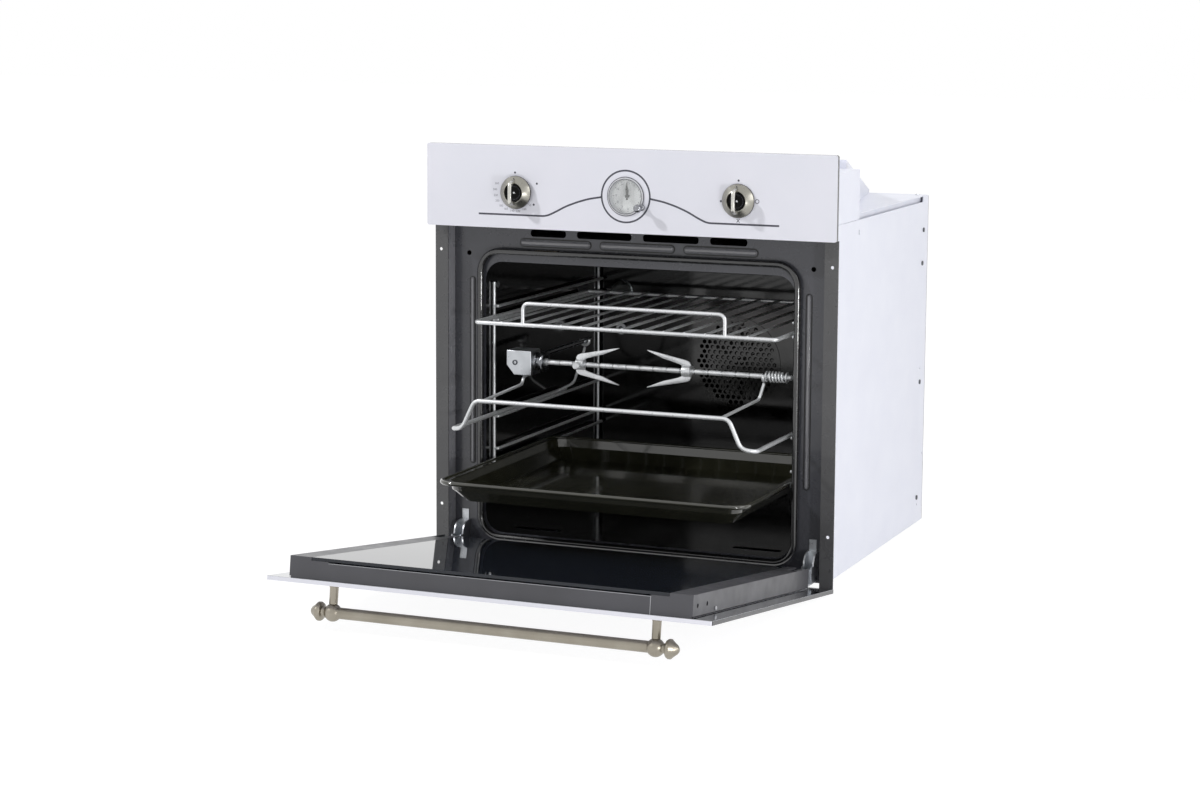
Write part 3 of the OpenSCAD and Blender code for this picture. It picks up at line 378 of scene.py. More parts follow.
# Also used for the knobs' dark rim ring, which is painted shade.
DARK_NICKEL_AND_RIM_SHADE = Metal("dark_nickel_and_painted_rim_shade", "#45454A", "#54545A", (0.22, 0.34))
BRASS = Metal("brass_stock", "#B4975A", "#C4A869", (0.24, 0.38))
HEATER = Metal("heater_tube_skin", "#4A4846", "#63605C", (0.42, 0.6))
CLEAR_GLASS = Glazing("clear_pane", "#F4F7F8", "#FBFCFC", (0.0, 0.02))
CLOCK_GLASS = Glazing("clock_pane", "#E4E8EA", "#EFF2F3", (0.02, 0.06), cover=0.12, clear=0.0)
LENS_GLASS = Glazing("lamp_lens_glass", "#7E8486", "#8C9294", (0.08, 0.16))
DOOR_GLASS = Glazing("door_inner_glass", "#2A303C", "#313845", (0.01, 0.03), clear=0.65)

CAD_COATS: tuple[tuple[Finish, str], ...] = (
    (FACE_WHITE, "control_panel"),
    (DOOR_WHITE, "door_panel"),
    (CASING_WHITE, "control_housing side_panel_left side_panel_right top_cover rear_cover"),
    (DARK_GREY, "front_frame"),
    (TRIM_GREY_LIT_WALL, "side_trims"),
    (BLACK_ENAMEL, "cavity fan_grille fan_motor fan_wheel"),
    (ZINC, "base_panel oven_burner cooling_fan_housing rotisserie_motor hinge_arms cooling_fan_drum"),
    (ZINC, "knob_thrust_ring hinge_channels"),
    (DULL_ZINC, "rear_panel casing_screws"),
    (FLEECE, "insulation"),
    (GASKET, "door_gasket"),
    (PORCELAIN, "lamp_holder igniter_and_probe"),
    (LENS_GLASS, "lamp_lens"),
    (HEATER, "grill_element"),
    (WIRE_CHROME, "side_rack_left side_rack_right"),
    (CHROME, "rack_screws spit_drive_socket drive_shaft"),
    (BRASS, "gas_valve gas_pipes gas_inlet"),
    (PALE_PLASTIC, "function_switch"),
    (BLACK_PLASTIC, "terminal_cover"),
    (CASE_GREY, "clock_case"),
    (DIAL_PAPER, "clock_dial"),
    (CLOCK_GLASS, "clock_glass"),
    (DOOR_GREY, "door_frame"),
    (DOOR_GLASS, "inner_glass"),
    (CLEAR_GLASS, "middle_glass"),
    (TRAY_ENAMEL, "baking_tray"),
)


# Bench work


def assign(target: object, **values: object) -> None:
    """Sets attributes of a Blender object."""
    for key, value in values.items():
        setattr(target, key, value)


def clear_bench() -> None:
    """Leaves edit mode and deselects everything."""
    if bpy.context.object and bpy.context.object.mode != "OBJECT":
        bpy.ops.object.mode_set(mode="OBJECT")
    bpy.ops.object.select_all(action="DESELECT")


def open_mesh() -> None:
    """Opens the active piece in edit mode with its whole mesh selected."""
    bpy.ops.object.mode_set(mode="EDIT")
    bpy.ops.mesh.select_all(action="SELECT")


def close_mesh(fill: bool = False) -> None:
    """Welds the open mesh, fills its holes if asked, turns its faces outwards and leaves edit mode."""
    bpy.ops.mesh.select_all(action="SELECT")
    bpy.ops.mesh.remove_doubles(threshold=WELD)
    if fill:
        bpy.ops.mesh.fill_holes(sides=0)
        bpy.ops.mesh.select_all(action="SELECT")
    bpy.ops.mesh.normals_make_consistent()
    bpy.ops.object.mode_set(mode="OBJECT")


def settle(piece: Piece, name: str, move: Matrix) -> Piece:
    """Names a new piece, moves it and applies the move to its mesh.

    Args:
        piece: The active, only selected object.
        name: The piece's name.
        move: Where its own origin goes, in metres.

    Returns:
        The piece, at the origin and unturned.
    """
    piece.name = name
    piece.data.name = name
    piece.matrix_world = move @ piece.matrix_world
    bpy.ops.object.transform_apply()
    return piece


def smooth(piece: Piece, angle: float = 35.0) -> None:
    """Shades the piece smooth, with sharp edges past the angle."""
    clear_bench()
    piece.select_set(True)
    bpy.context.view_layer.objects.active = piece
    bpy.ops.object.shade_smooth_by_angle(angle=radians(angle))


def soften(piece: Piece, radius: float, steps: int = 2) -> None:
    """Rounds the piece's sharp edges by a radius in millimetres and shades it smooth."""
    bpy.context.view_layer.objects.active = piece
    piece.select_set(True)
    bevel = piece.modifiers.new("bevel", "BEVEL")
    assign(bevel, width=radius * MM, segments=steps, limit_method="ANGLE", angle_limit=radians(28))
    bpy.ops.object.modifier_apply(modifier=bevel.name)
    smooth(piece)


def lathe(name: str, profile: Sequence[Pair], centre: Vector, along: Along = Along.BACK,
          sides: int = 64, ring: bool = False, turn: Matrix | None = None) -> Piece:
    """A turned piece: a circle that is extruded and resized from one profile point to the next.

    Args:
        name: The piece's name.
        profile: Points of (radius, height) in millimetres, height along the axis.
        centre: The row point of height 0 on the axis.
        along: The axis's direction.
        sides: Faces round the axis.
        ring: True where the profile closes on itself and the piece has a bore.
        turn: Another turn in place of the one for along.

    Returns:
        The piece.
    """
    clear_bench()
    radius, height = profile[0]
    bpy.ops.mesh.primitive_circle_add(vertices=sides, radius=radius * MM, location=(0, 0, height * MM))
    piece = bpy.context.object
    bpy.ops.object.transform_apply()
    open_mesh()
    for wide, high in (*profile[1:], *(profile[:1] if ring else ())):
        bpy.ops.mesh.extrude_edges_move()
        share = wide / radius
        bpy.ops.transform.resize(value=(share, share, 1.0), center_override=(0, 0, 0))
        bpy.ops.transform.translate(value=(0, 0, (high - height) * MM))
        radius, height = wide, high
    close_mesh(fill=not ring)
    return settle(piece, name, Matrix.Translation(centre) @ (turn if turn else along.turn()))


def plate(name: str, outline: Sequence[Pair], low: float, high: float, move: Matrix) -> Piece:
    """A flat piece: a disc whose rim follows the outline, extruded to its thickness.

    Args:
        name: The piece's name.
        outline: Points of (x, y) in millimetres, round the shape.
        low: The underside's height.
        high: The top's height.
        move: Takes the plate's own x, y and z into the row frame.

    Returns:
        The piece.
    """
    clear_bench()
    bpy.ops.mesh.primitive_circle_add(vertices=len(outline), radius=MM, fill_type="NGON")
    piece = bpy.context.object
    for vertex, (x, y) in zip(piece.data.vertices, outline):
        vertex.co = (x * MM, y * MM, low * MM)
    open_mesh()
    bpy.ops.mesh.duplicate()
    bpy.ops.mesh.select_all(action="INVERT")
    bpy.ops.mesh.extrude_region_move(TRANSFORM_OT_translate={"value": (0, 0, (high - low) * MM)})
    close_mesh()
    return settle(piece, name, move)


def block(name: str, low: Point, high: Point, rounding: float, move: Matrix) -> Piece:
    """A block with rounded edges between two corners, in millimetres, taken by move into the row frame."""
    clear_bench()
    size = Vector(high) - Vector(low)
    bpy.ops.mesh.primitive_cube_add(size=1.0, location=(Vector(low) + size / 2) * MM, scale=size * MM)
    piece = bpy.context.object
    bpy.ops.object.transform_apply()
    open_mesh()
    bpy.ops.mesh.bevel(offset=rounding * MM, segments=2, affect="EDGES")
    bpy.ops.object.mode_set(mode="OBJECT")
    settle(piece, name, move)
    smooth(piece)
    return piece


def surround(name: str, low: Pair, high: Pair, gap_low: Pair, gap_high: Pair, front: float, back: float,
             move: Matrix) -> Piece:
    """A flat frame in x and z round a rectangular gap, between two depths in millimetres."""
    clear_bench()
    bpy.ops.mesh.primitive_plane_add(size=1.0)
    piece = bpy.context.object
    bpy.ops.object.mode_set(mode="EDIT")
    bpy.ops.mesh.inset(thickness=0.1)
    bpy.ops.mesh.delete(type="FACE")
    bpy.ops.mesh.select_all(action="SELECT")
    bpy.ops.mesh.extrude_region_move(TRANSFORM_OT_translate={"value": (0, 0, 1.0)})
    close_mesh()
    for vertex in piece.data.vertices:
        outer = max(abs(vertex.co.x), abs(vertex.co.y)) > 0.45
        right, top = vertex.co.x > 0, vertex.co.y > 0
        (x0, z0), (x1, z1) = (low, high) if outer else (gap_low, gap_high)
        depth = back if vertex.co.z > 0.5 else front
        vertex.co = Vector((x1 if right else x0, depth, z1 if top else z0)) * MM
    piece.data.update()
    open_mesh()
    close_mesh()
    return settle(piece, name, move)


def bent(points: Sequence[Vector], bend: float, closed: bool = False) -> list[Vector]:
    """The points of a route with each corner bent round.

    Args:
        points: The route's corners, in metres.
        bend: How far each way from a corner its bend starts, in metres.
        closed: True where the last point leads back to the first.

    Returns:
        The route's points.
    """
    route: list[Vector] = []
    count = len(points)
    for i, corner in enumerate(points):
        if not closed and i in (0, count - 1):
            route.append(corner)
            continue
        before, after = points[i - 1] - corner, points[(i + 1) % count] - corner
        reach = min(bend, before.length * 0.48, after.length * 0.48)
        start, end = corner + before.normalized() * reach, corner + after.normalized() * reach
        for k in range(BEND_STEPS + 1):
            t = k / BEND_STEPS
            route.append(start * (1 - t) ** 2 + corner * 2 * t * (1 - t) + end * t ** 2)
    return route


def wire(name: str, routes: Sequence[Sequence[Vector]], radius: float, closed: bool = False) -> Piece:
    """Round wires along routes, as one piece.

    Args:
        name: The piece's name.
        routes: The centre lines, in metres in the row frame.
        radius: The wire's radius in millimetres.
        closed: True where each route is a loop.

    Returns:
        The piece.
    """
    clear_bench()
    bpy.ops.curve.primitive_bezier_curve_add()
    curve = bpy.context.object.data
    curve.splines.clear()
    assign(curve, dimensions="3D", bevel_depth=radius * MM, bevel_resolution=3, use_fill_caps=True)
    for route in routes:
        spline = curve.splines.new("POLY")
        spline.points.add(len(route) - 1)
        for point, place in zip(spline.points, route):
            point.co = (*place, 1.0)
        spline.use_cyclic_u = closed
    bpy.ops.object.convert(target="MESH")
    piece = bpy.context.object
    open_mesh()
    close_mesh()
    settle(piece, name, Matrix.Identity(4))
    smooth(piece, 50)
    return piece


def figures(body: str, height: float, move: Matrix) -> Piece:
    """Plain figures as a thin printed mesh, centred on move's origin."""
    clear_bench()
    bpy.ops.object.text_add()
    assign(bpy.context.object.data, body=body, size=height * MM, align_x="CENTER", align_y="CENTER",
           extrude=0.02 * MM, resolution_u=3)
    bpy.ops.object.convert(target="MESH")
    return settle(bpy.context.object, "figures", move)


def join(pieces: Sequence[Piece], name: str) -> Piece:
    """Joins pieces into the first and names it."""
    clear_bench()
    for piece in pieces:
        piece.select_set(True)
    bpy.context.view_layer.objects.active = pieces[0]
    if len(pieces) > 1:
        bpy.ops.object.join()
    pieces[0].name = name
    pieces[0].data.name = name
    return pieces[0]


FRONT = Matrix(((1, 0, 0, 0), (0, 0, -1, 0), (0, 1, 0, 0), (0, 0, 0, 1)))
SIDE = Matrix(((0, 0, 1, 0), (1, 0, 0, 0), (0, 1, 0, 0), (0, 0, 0, 1)))
DOOR_TURN = Matrix.Rotation(DOOR_OPEN, 4, "X")
DOOR = Matrix.Translation((DOOR_AXIS - ORIGIN) * MM) @ DOOR_TURN @ Matrix.Translation(-DOOR_AXIS * MM)


def mirrored(points: Sequence[Pair]) -> list[Pair]:
    """The points in reverse order, mirrored in their second value."""
    return [(a, -b) for a, b in reversed(points)]


def on_front(x: float, y: float, z: float) -> Matrix:
    """Puts a flat shape upright at a cabinet point, with its top towards the viewer."""
    return Matrix.Translation(at(x, y, z)) @ FRONT


def on_door(x: float, y: float, z: float) -> Vector:
    """A point of the closed door in millimetres as a row point on the open one."""
    return DOOR @ (Vector((x, y, z)) * MM)


@dataclass
class Assembly:
    """A sub-assembly: it seats its pieces on a body and gives them a finish."""

    body: str = "casing"

    def seat(self, piece: Piece, slot: Slot, finish: Finish, *nodes: str,
             body: str = "") -> None:
        """Finishes a piece, makes it ride and hides the nodes it stands for.

        Args:
            piece: The new piece.
            slot: The record's material slot; not used.
            finish: Its finish.
            nodes: The CAD nodes that it replaces.
            body: The body it rides on, if not the assembly's own.
        """
        piece.data.materials.clear()
        piece.data.materials.append(finish.material())
        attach(piece, body or self.body)
        if nodes:
            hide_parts(*nodes)
        log.info("%s rides on %s, %d faces", piece.name, body or self.body, len(piece.data.polygons))

    def turned(self, name: str, profile: Sequence[Pair], centre: Vector, slot: Slot, finish: Finish,
               *nodes: str, rounding: float = 0.0, **shape: object) -> None:
        """Turns a piece on the lathe, rounds its edges and seats it."""
        piece = lathe(name, profile, centre, **shape)
        if rounding:
            soften(piece, rounding)
        self.seat(piece, slot, finish, *nodes)


# The oven's sub-assemblies


@dataclass
class Shell(Assembly):
    """The nodes that keep their CAD shape: casing, liner, gas, fans, door frame, glasses and tray."""

    def dress(self, nodes: dict[str, Piece]) -> None:
        """Paints the nodes through their material slots."""
        for finish, names in CAD_COATS:
            for name in names.split():
                for place in nodes[name].material_slots:
                    place.material = finish.material()


@dataclass
class Pressings(Assembly):
    """Rounded beads over the front frame's ribs, drawn lighter as a painted highlight and ringed by a painted
    shadow, and the screw on the cover.
    """

    face_y: float = 43.5
    top_z: float = 456.5
    side_x: float = 247.8
    side_z: float = 272.0
    tops: tuple[Pair, ...] = ((-121.5, 106.0), (0.0, 109.0), (121.5, 106.0))
    side: float = 265.0
    edge: float = 2.4
    screw: Point = (264.0, 510.0, 504.4)

    def bead(self, length: float, radius: float, centre: Vector, along: Along) -> Piece:
        """A long bead with round ends, sunk into the front frame."""
        end = [(radius * sin(a), length / 2 - radius * (1 - cos(a)))
               for a in (radians(90 - 15 * k) for k in range(6))]
        return lathe("bead", mirrored(end) + end, centre, along, sides=40)

    def groove(self, length: float, half: float, x: float, z: float, turn: float) -> Piece:
        """A thin black plate round a bead: painted shadow where the bead meets the frame."""
        outline = [(s * (length / 2 - half) + half * cos(a), half * sin(a))
                   for s, first in ((1, -90), (-1, 90))
                   for a in (radians(first + 15 * k) for k in range(13))]
        move = on_front(x, self.face_y, z) @ Matrix.Rotation(turn, 4, "Z")
        return plate("groove", outline, -0.05, 0.12, move)

    def build(self) -> None:
        """Builds the pieces and seats them."""
        sides = (-self.side_x, self.side_x)
        beads = [self.bead(length, 4.8, at(x, self.face_y + 1.7, self.top_z), Along.X)
                 for x, length in self.tops]
        beads += [self.bead(self.side, 3.4, at(x, self.face_y + 0.7, self.side_z), Along.UP) for x in sides]
        piece = join(beads, "frame_beads")
        smooth(piece, 40)
        self.seat(piece, Slot.GREY, BEAD_SHEEN_GREY)
        # Black outlines round the beads, which are painted shadow.
        bead_shadows = [self.groove(length + self.edge, 6.4, x, self.top_z, 0.0) for x, length in self.tops]
        bead_shadows += [self.groove(self.side + self.edge, 4.9, x, self.side_z, pi / 2) for x in sides]
        self.seat(join(bead_shadows, "frame_bead_shadows"), Slot.GREY, BEAD_SHADOW_BLACK)
        self.turned("cover_screw", [(3.2, 0.0), (3.2, 0.9), (2.2, 1.7), (0.9, 1.9)], at(*self.screw),
                    Slot.CHROME, CHROME, rounding=0.2, along=Along.UP, sides=32)


@dataclass
class Prints(Assembly):
    """What is printed on the control panel: the drawn line, the clock's ring, dots and figures."""

    line_w: float = 2.5
    depth: float = 0.06
    figure: float = 4.2
    cross: Point = (161.0, 0.0, 503.4)
    low_mark: Point = (187.3, 0.0, 529.9)

    def ribbon(self, points: Sequence[Pair]) -> Piece:
        """A printed line through points of (x, z), with its ends rounded off to the line's width."""
        flat = [Vector((x, z, 0)) * MM for x, z in points]
        route = [Vector((p.x, p.y)) / MM for p in bent(flat, 0.007)]
        left: list[Pair] = []
        right: list[Pair] = []
        for i, here in enumerate(route):
            way = (route[min(i + 1, len(route) - 1)] - route[max(i - 1, 0)]).normalized()
            side = Vector((-way.y, way.x)) * self.line_w / 2
            left.append((here + side).to_tuple())
            right.append((here - side).to_tuple())
        return plate("line", left + right[::-1], 0.0, self.depth, on_front(0, 0, 0))

    def dot(self, x: float, z: float, radius: float) -> Piece:
        """A printed dot."""
        return lathe("dot", [(radius, -self.depth), (radius, 0.0)], at(x, 0, z), sides=20)

    def ring(self, radius: float, width: float, centre: Vector) -> Piece:
        """A printed ring."""
        inner, outer = radius - width / 2, radius + width / 2
        return lathe("ring", [(inner, -self.depth), (outer, -self.depth), (outer, 0.0), (inner, 0.0)],
                     centre, sides=96, ring=True)

    def build(self) -> None:
        """Prints the panel."""
        rise = [(218.5, 498.6), (117.0, 498.6), (104.5, 504.2), (88.5, 512.8), (71.5, 519.4), (54.0, 524.6),
                (35.0, 527.8)]
        lines = [self.ribbon([(-x, z) for x, z in rise]), self.ribbon(rise),
                 self.ring(35.0, 2.4, at(0, 0, KNOB_Z))]
        self.seat(join(lines, "panel_lines"), Slot.PANEL, INK)
        dots = [self.dot(x, z, 1.5) for x, z in (
            (-163.7, 556.8), (-131.0, 542.6), (-135.6, 513.6), (161.0, 556.8), (136.4, 528.6),
            (141.0, 528.2))]
        dots.append(self.ring(2.6, 0.9, at(*self.low_mark)))
        for turn in (-40, 40):
            dots.append(block("cross_mark", (-0.45, -3.2, 0), (0.45, 3.2, self.depth), 0.02,
                              on_front(*self.cross) @ Matrix.Rotation(radians(turn), 4, "Z")))
        self.seat(join(dots, "panel_marks"), Slot.PANEL, INK)
        places = [(-190.9, 541.1), (-193.8, 532.7), (-192.7, 524.6), (-190.3, 517.2), (-184.7, 510.4),
                  (-177.6, 506.4), (-167.9, 504.1), (-159.0, 503.9), (-149.7, 506.9), (-141.5, 512.6)]
        degrees = (*range(260, 99, -20), 50)
        marks = [figures(str(degree), self.figure, on_front(x, -0.02, z))
                 for (x, z), degree in zip(places, degrees)]
        self.seat(join(marks, "panel_figures"), Slot.PANEL, FAINT_INK)


@dataclass
class Knob(Assembly):
    """A control knob: conical skirt, black dish, arched grip and a printed pointer."""

    name: str = "knob"
    node: str = ""
    x: float = 0.0
    back: float = -0.7
    radius: float = 22.5
    lift: float = 3.6
    cone: float = 7.3

    def build(self) -> None:
        """Builds the knob's pieces and seats them."""
        centre = at(self.x, self.back, KNOB_Z)
        r = self.radius
        nickel = Slot.NICKEL
        self.turned(f"{self.name}_skirt", [
            (3.9, 6.0), (3.9, -0.2), (r - 1.0, -0.2), (r, -0.8), (r, -2.0), (14.2, -9.6), (13.7, -9.9),
            (13.3, -9.6), (13.1, -8.6), (12.6, -5.2)], centre, nickel, KNOB_NICKEL, self.node, rounding=0.3)
        # A dark ring round the skirt's edge where it meets the panel, which is painted shade.
        self.turned(f"{self.name}_rim", [
            (r - 0.6, -0.1), (r + 0.35, -0.1), (r + 0.35, -0.7), (r - 0.6, -0.7)], centre, nickel,
            DARK_NICKEL_AND_RIM_SHADE, ring=True)
        self.turned(f"{self.name}_dish", [
            (12.8, -5.0), (12.8, -6.4), (12.2, -6.9), (10.4, -6.2), (6.0, -5.6), (1.6, -5.4)], centre,
            nickel, DISH_BLACK, rounding=0.3)
        self.turned(f"{self.name}_band", [(8.7, -5.6), (9.3, -5.6), (9.3, -6.6), (8.7, -6.6)], centre,
                    nickel, DARK_NICKEL_AND_RIM_SHADE, rounding=0.15, ring=True)
        # The grip takes the lighter nickel as a painted highlight.
        self.seat(self.arch(), nickel, GRIP_SHEEN_NICKEL)
        self.turned(f"{self.name}_screw", [(1.6, -5.2), (1.6, -6.4), (0.8, -6.9)], centre, Slot.CHROME,
                    CHROME, rounding=0.2, sides=24)
        self.seat(self.pointer(), nickel, INK)

    def pointer(self) -> Piece:
        """The printed pointer, laid on the skirt's cone."""
        r = self.radius
        piece = block(f"{self.name}_pointer", (-0.7, r * 0.72, 0), (0.7, r * 0.93, 0.35), 0.12,
                      on_front(self.x, self.back - self.lift, KNOB_Z))
        run, middle = r * 0.34, r * 0.825
        slope = atan2(self.cone, run)
        foot = at(self.x, self.back - 2.0 - self.cone * (r - middle) / run, KNOB_Z + middle)
        here = at(self.x, self.back - self.lift, KNOB_Z + middle)
        move = Matrix.Translation(foot) @ Matrix.Rotation(slope, 4, "X") @ Matrix.Translation(-here)
        piece.data.transform(move)
        return piece

    def arch(self) -> Piece:
        """The upright grip, an arched bar with an opening over the dish."""
        outer = [(-3.4, -17.6), (-9.0, -17.4), (-15.5, -16.4), (-20.5, -14.6), (-22.3, -11.0)]
        inner = [(-7.6, 11.4), (-13.5, 11.0), (-17.0, 8.6), (-18.3, 4.0)]
        ring = outer + [(-22.5, 0.0)] + mirrored(outer) + inner + mirrored(inner)
        outline = [(self.back + y, KNOB_Z + z) for y, z in ring]
        piece = plate(f"{self.name}_grip", outline, -2.4, 2.4, Matrix.Translation(at(self.x, 0, 0)) @ SIDE)
        soften(piece, 1.1, 3)
        return piece


@dataclass
class Clock(Assembly):
    """The clock: bezel, dial with ticks and figures, hands, glass and setting knob."""

    set_x: float = 24.6
    set_drop: float = 14.0
    dial_y: float = 8.98
    tick_end: float = 22.4
    figure_r: float = 17.4
    figure: float = 4.4

    def build(self) -> None:
        """Builds the clock's pieces and seats them."""
        centre = at(0, 0, KNOB_Z)
        self.turned("clock_bezel", [(23.2, -0.2), (23.4, -1.8), (24.0, -2.3), (25.2, -2.2), (25.8, -1.2),
                                    (25.8, -0.05), (24.0, 0.2)], centre, Slot.NICKEL, CASE_GREY, rounding=0.2,
                    sides=96, ring=True)
        # Two dark ink rings: painted shade at the glass's rim inside the bezel and round the bezel's foot on
        # the panel.
        shade_lines = [lathe("shade_line", [(r - w, high), (r + w, high), (r + w, high + 0.6), (r - w, high + 0.6)],
                       centre, sides=96, ring=True) for r, w, high in ((23.6, 0.3, -2.5), (26.0, 0.65, -0.9))]
        self.seat(join(shade_lines, "clock_shade_lines"), Slot.NICKEL, INK)
        self.dial_marks()
        self.hand("minute_hand", 19.0, 3.2, 3.0, "minute")
        self.hand("hour_hand", 13.0, 3.8, 5.5, "hour")
        spot = at(self.set_x, 0, KNOB_Z - self.set_drop)
        knob = lathe("setter_head", [(2.0, 14.0), (2.0, -8.0), (3.0, -14.5), (5.2, -16.0), (5.7, -18.0),
                                     (5.0, -21.5), (3.2, -23.4), (1.2, -24.0)], spot, sides=40)
        collar = lathe("setter_collar", [(2.0, -2.4), (4.4, -2.4), (4.4, -5.8), (3.4, -7.2), (2.0, -7.6)],
                       spot, sides=40)
        piece = join([knob, collar], "clock_setter_knob")
        soften(piece, 0.35)
        self.seat(piece, Slot.CHROME, SETTER_STEEL, "clock_set_knob", body="clock_setter")

    def dial_marks(self) -> None:
        """Ticks and figures on the dial."""
        ticks = []
        far = self.tick_end
        for i in range(60):
            long, half = (2.2, 0.28) if i % 5 == 0 else (1.1, 0.14)
            outline = [(-half, far - long), (half, far - long), (half, far), (-half, far)]
            turn = Matrix.Rotation(-radians(6 * i), 4, "Z")
            ticks.append(plate("tick", outline, 0.0, 0.05, on_front(0, self.dial_y, KNOB_Z) @ turn))
        self.seat(join(ticks, "dial_ticks"), Slot.DIAL, INK)
        marks = []
        for hour in range(1, 13):
            a = radians(30 * hour)
            x, z = self.figure_r * sin(a), KNOB_Z + self.figure_r * cos(a)
            marks.append(figures(str(hour), self.figure, on_front(x, self.dial_y - 0.02, z)))
        self.seat(join(marks, "dial_figures"), Slot.DIAL, FAINT_INK)

    def hand(self, name: str, length: float, width: float, y: float, body: str) -> None:
        """A leaf-shaped hand with a boss, on its body."""
        leaf = [(-width / 5, -5), (width / 5, -5), (width / 4, 0), (width / 2.4, length * 0.3),
                (width / 2, length * 0.5), (width / 3, length * 0.75), (0.15, length)]
        outline = leaf + [(-x, z) for x, z in reversed(leaf[1:])]
        blade = plate(f"{name}_leaf", outline, -0.25, 0.25, on_front(0, y + 0.25, KNOB_Z))
        boss = lathe(f"{name}_boss", [(2.3, 0.3), (2.3, -0.4), (1.6, -0.8)], at(0, y + 0.25, KNOB_Z),
                     sides=24)
        piece = join([blade, boss], f"{name}_blade")
        smooth(piece)
        self.seat(piece, Slot.HAND, HAND_PAINT, name, body=body)


@dataclass
class Handle(Assembly):
    """The door's handle: posts with flared feet, bar, balls and turned end pieces."""

    body: str = "door"
    post_x: float = 217.0
    out: float = 36.5
    height: float = 445.2
    bar_r: float = 7.2
    ball_r: float = 11.5

    def build(self) -> None:
        """Builds the handle and seats it."""
        half: list[Pair] = [(self.bar_r, 0.0), (self.bar_r, self.post_x - 9.0)]
        for k in range(9):
            a = radians(-50 + k * 13.5)
            half.append((self.ball_r * cos(a), self.post_x + self.ball_r * sin(a)))
        half += [(r, self.post_x + out) for out, r in (
            (11.2, 6.2), (13.6, 6.8), (14.6, 10.6), (17.0, 12.2), (20.0, 12.2), (24.0, 8.6), (28.0, 5.6),
            (30.0, 3.0))]
        profile = mirrored(half[1:]) + half
        self.turned("handle_rail", profile, on_door(0, -self.out, self.height), Slot.NICKEL, NICKEL,
                    "handle_bar", rounding=0.5, sides=56, turn=DOOR_TURN @ Along.X.turn())
        posts = [lathe("handle_post", [(8.6, 0.0), (8.6, -1.4), (6.6, -3.0), (5.6, -5.0), (5.5, -25.9)],
                       on_door(s * self.post_x, -0.1, self.height), sides=48,
                       turn=DOOR_TURN @ Along.BACK.turn()) for s in (-1, 1)]
        piece = join(posts, "handle_feet")
        soften(piece, 0.5)
        self.seat(piece, Slot.NICKEL, NICKEL, "handle_posts")


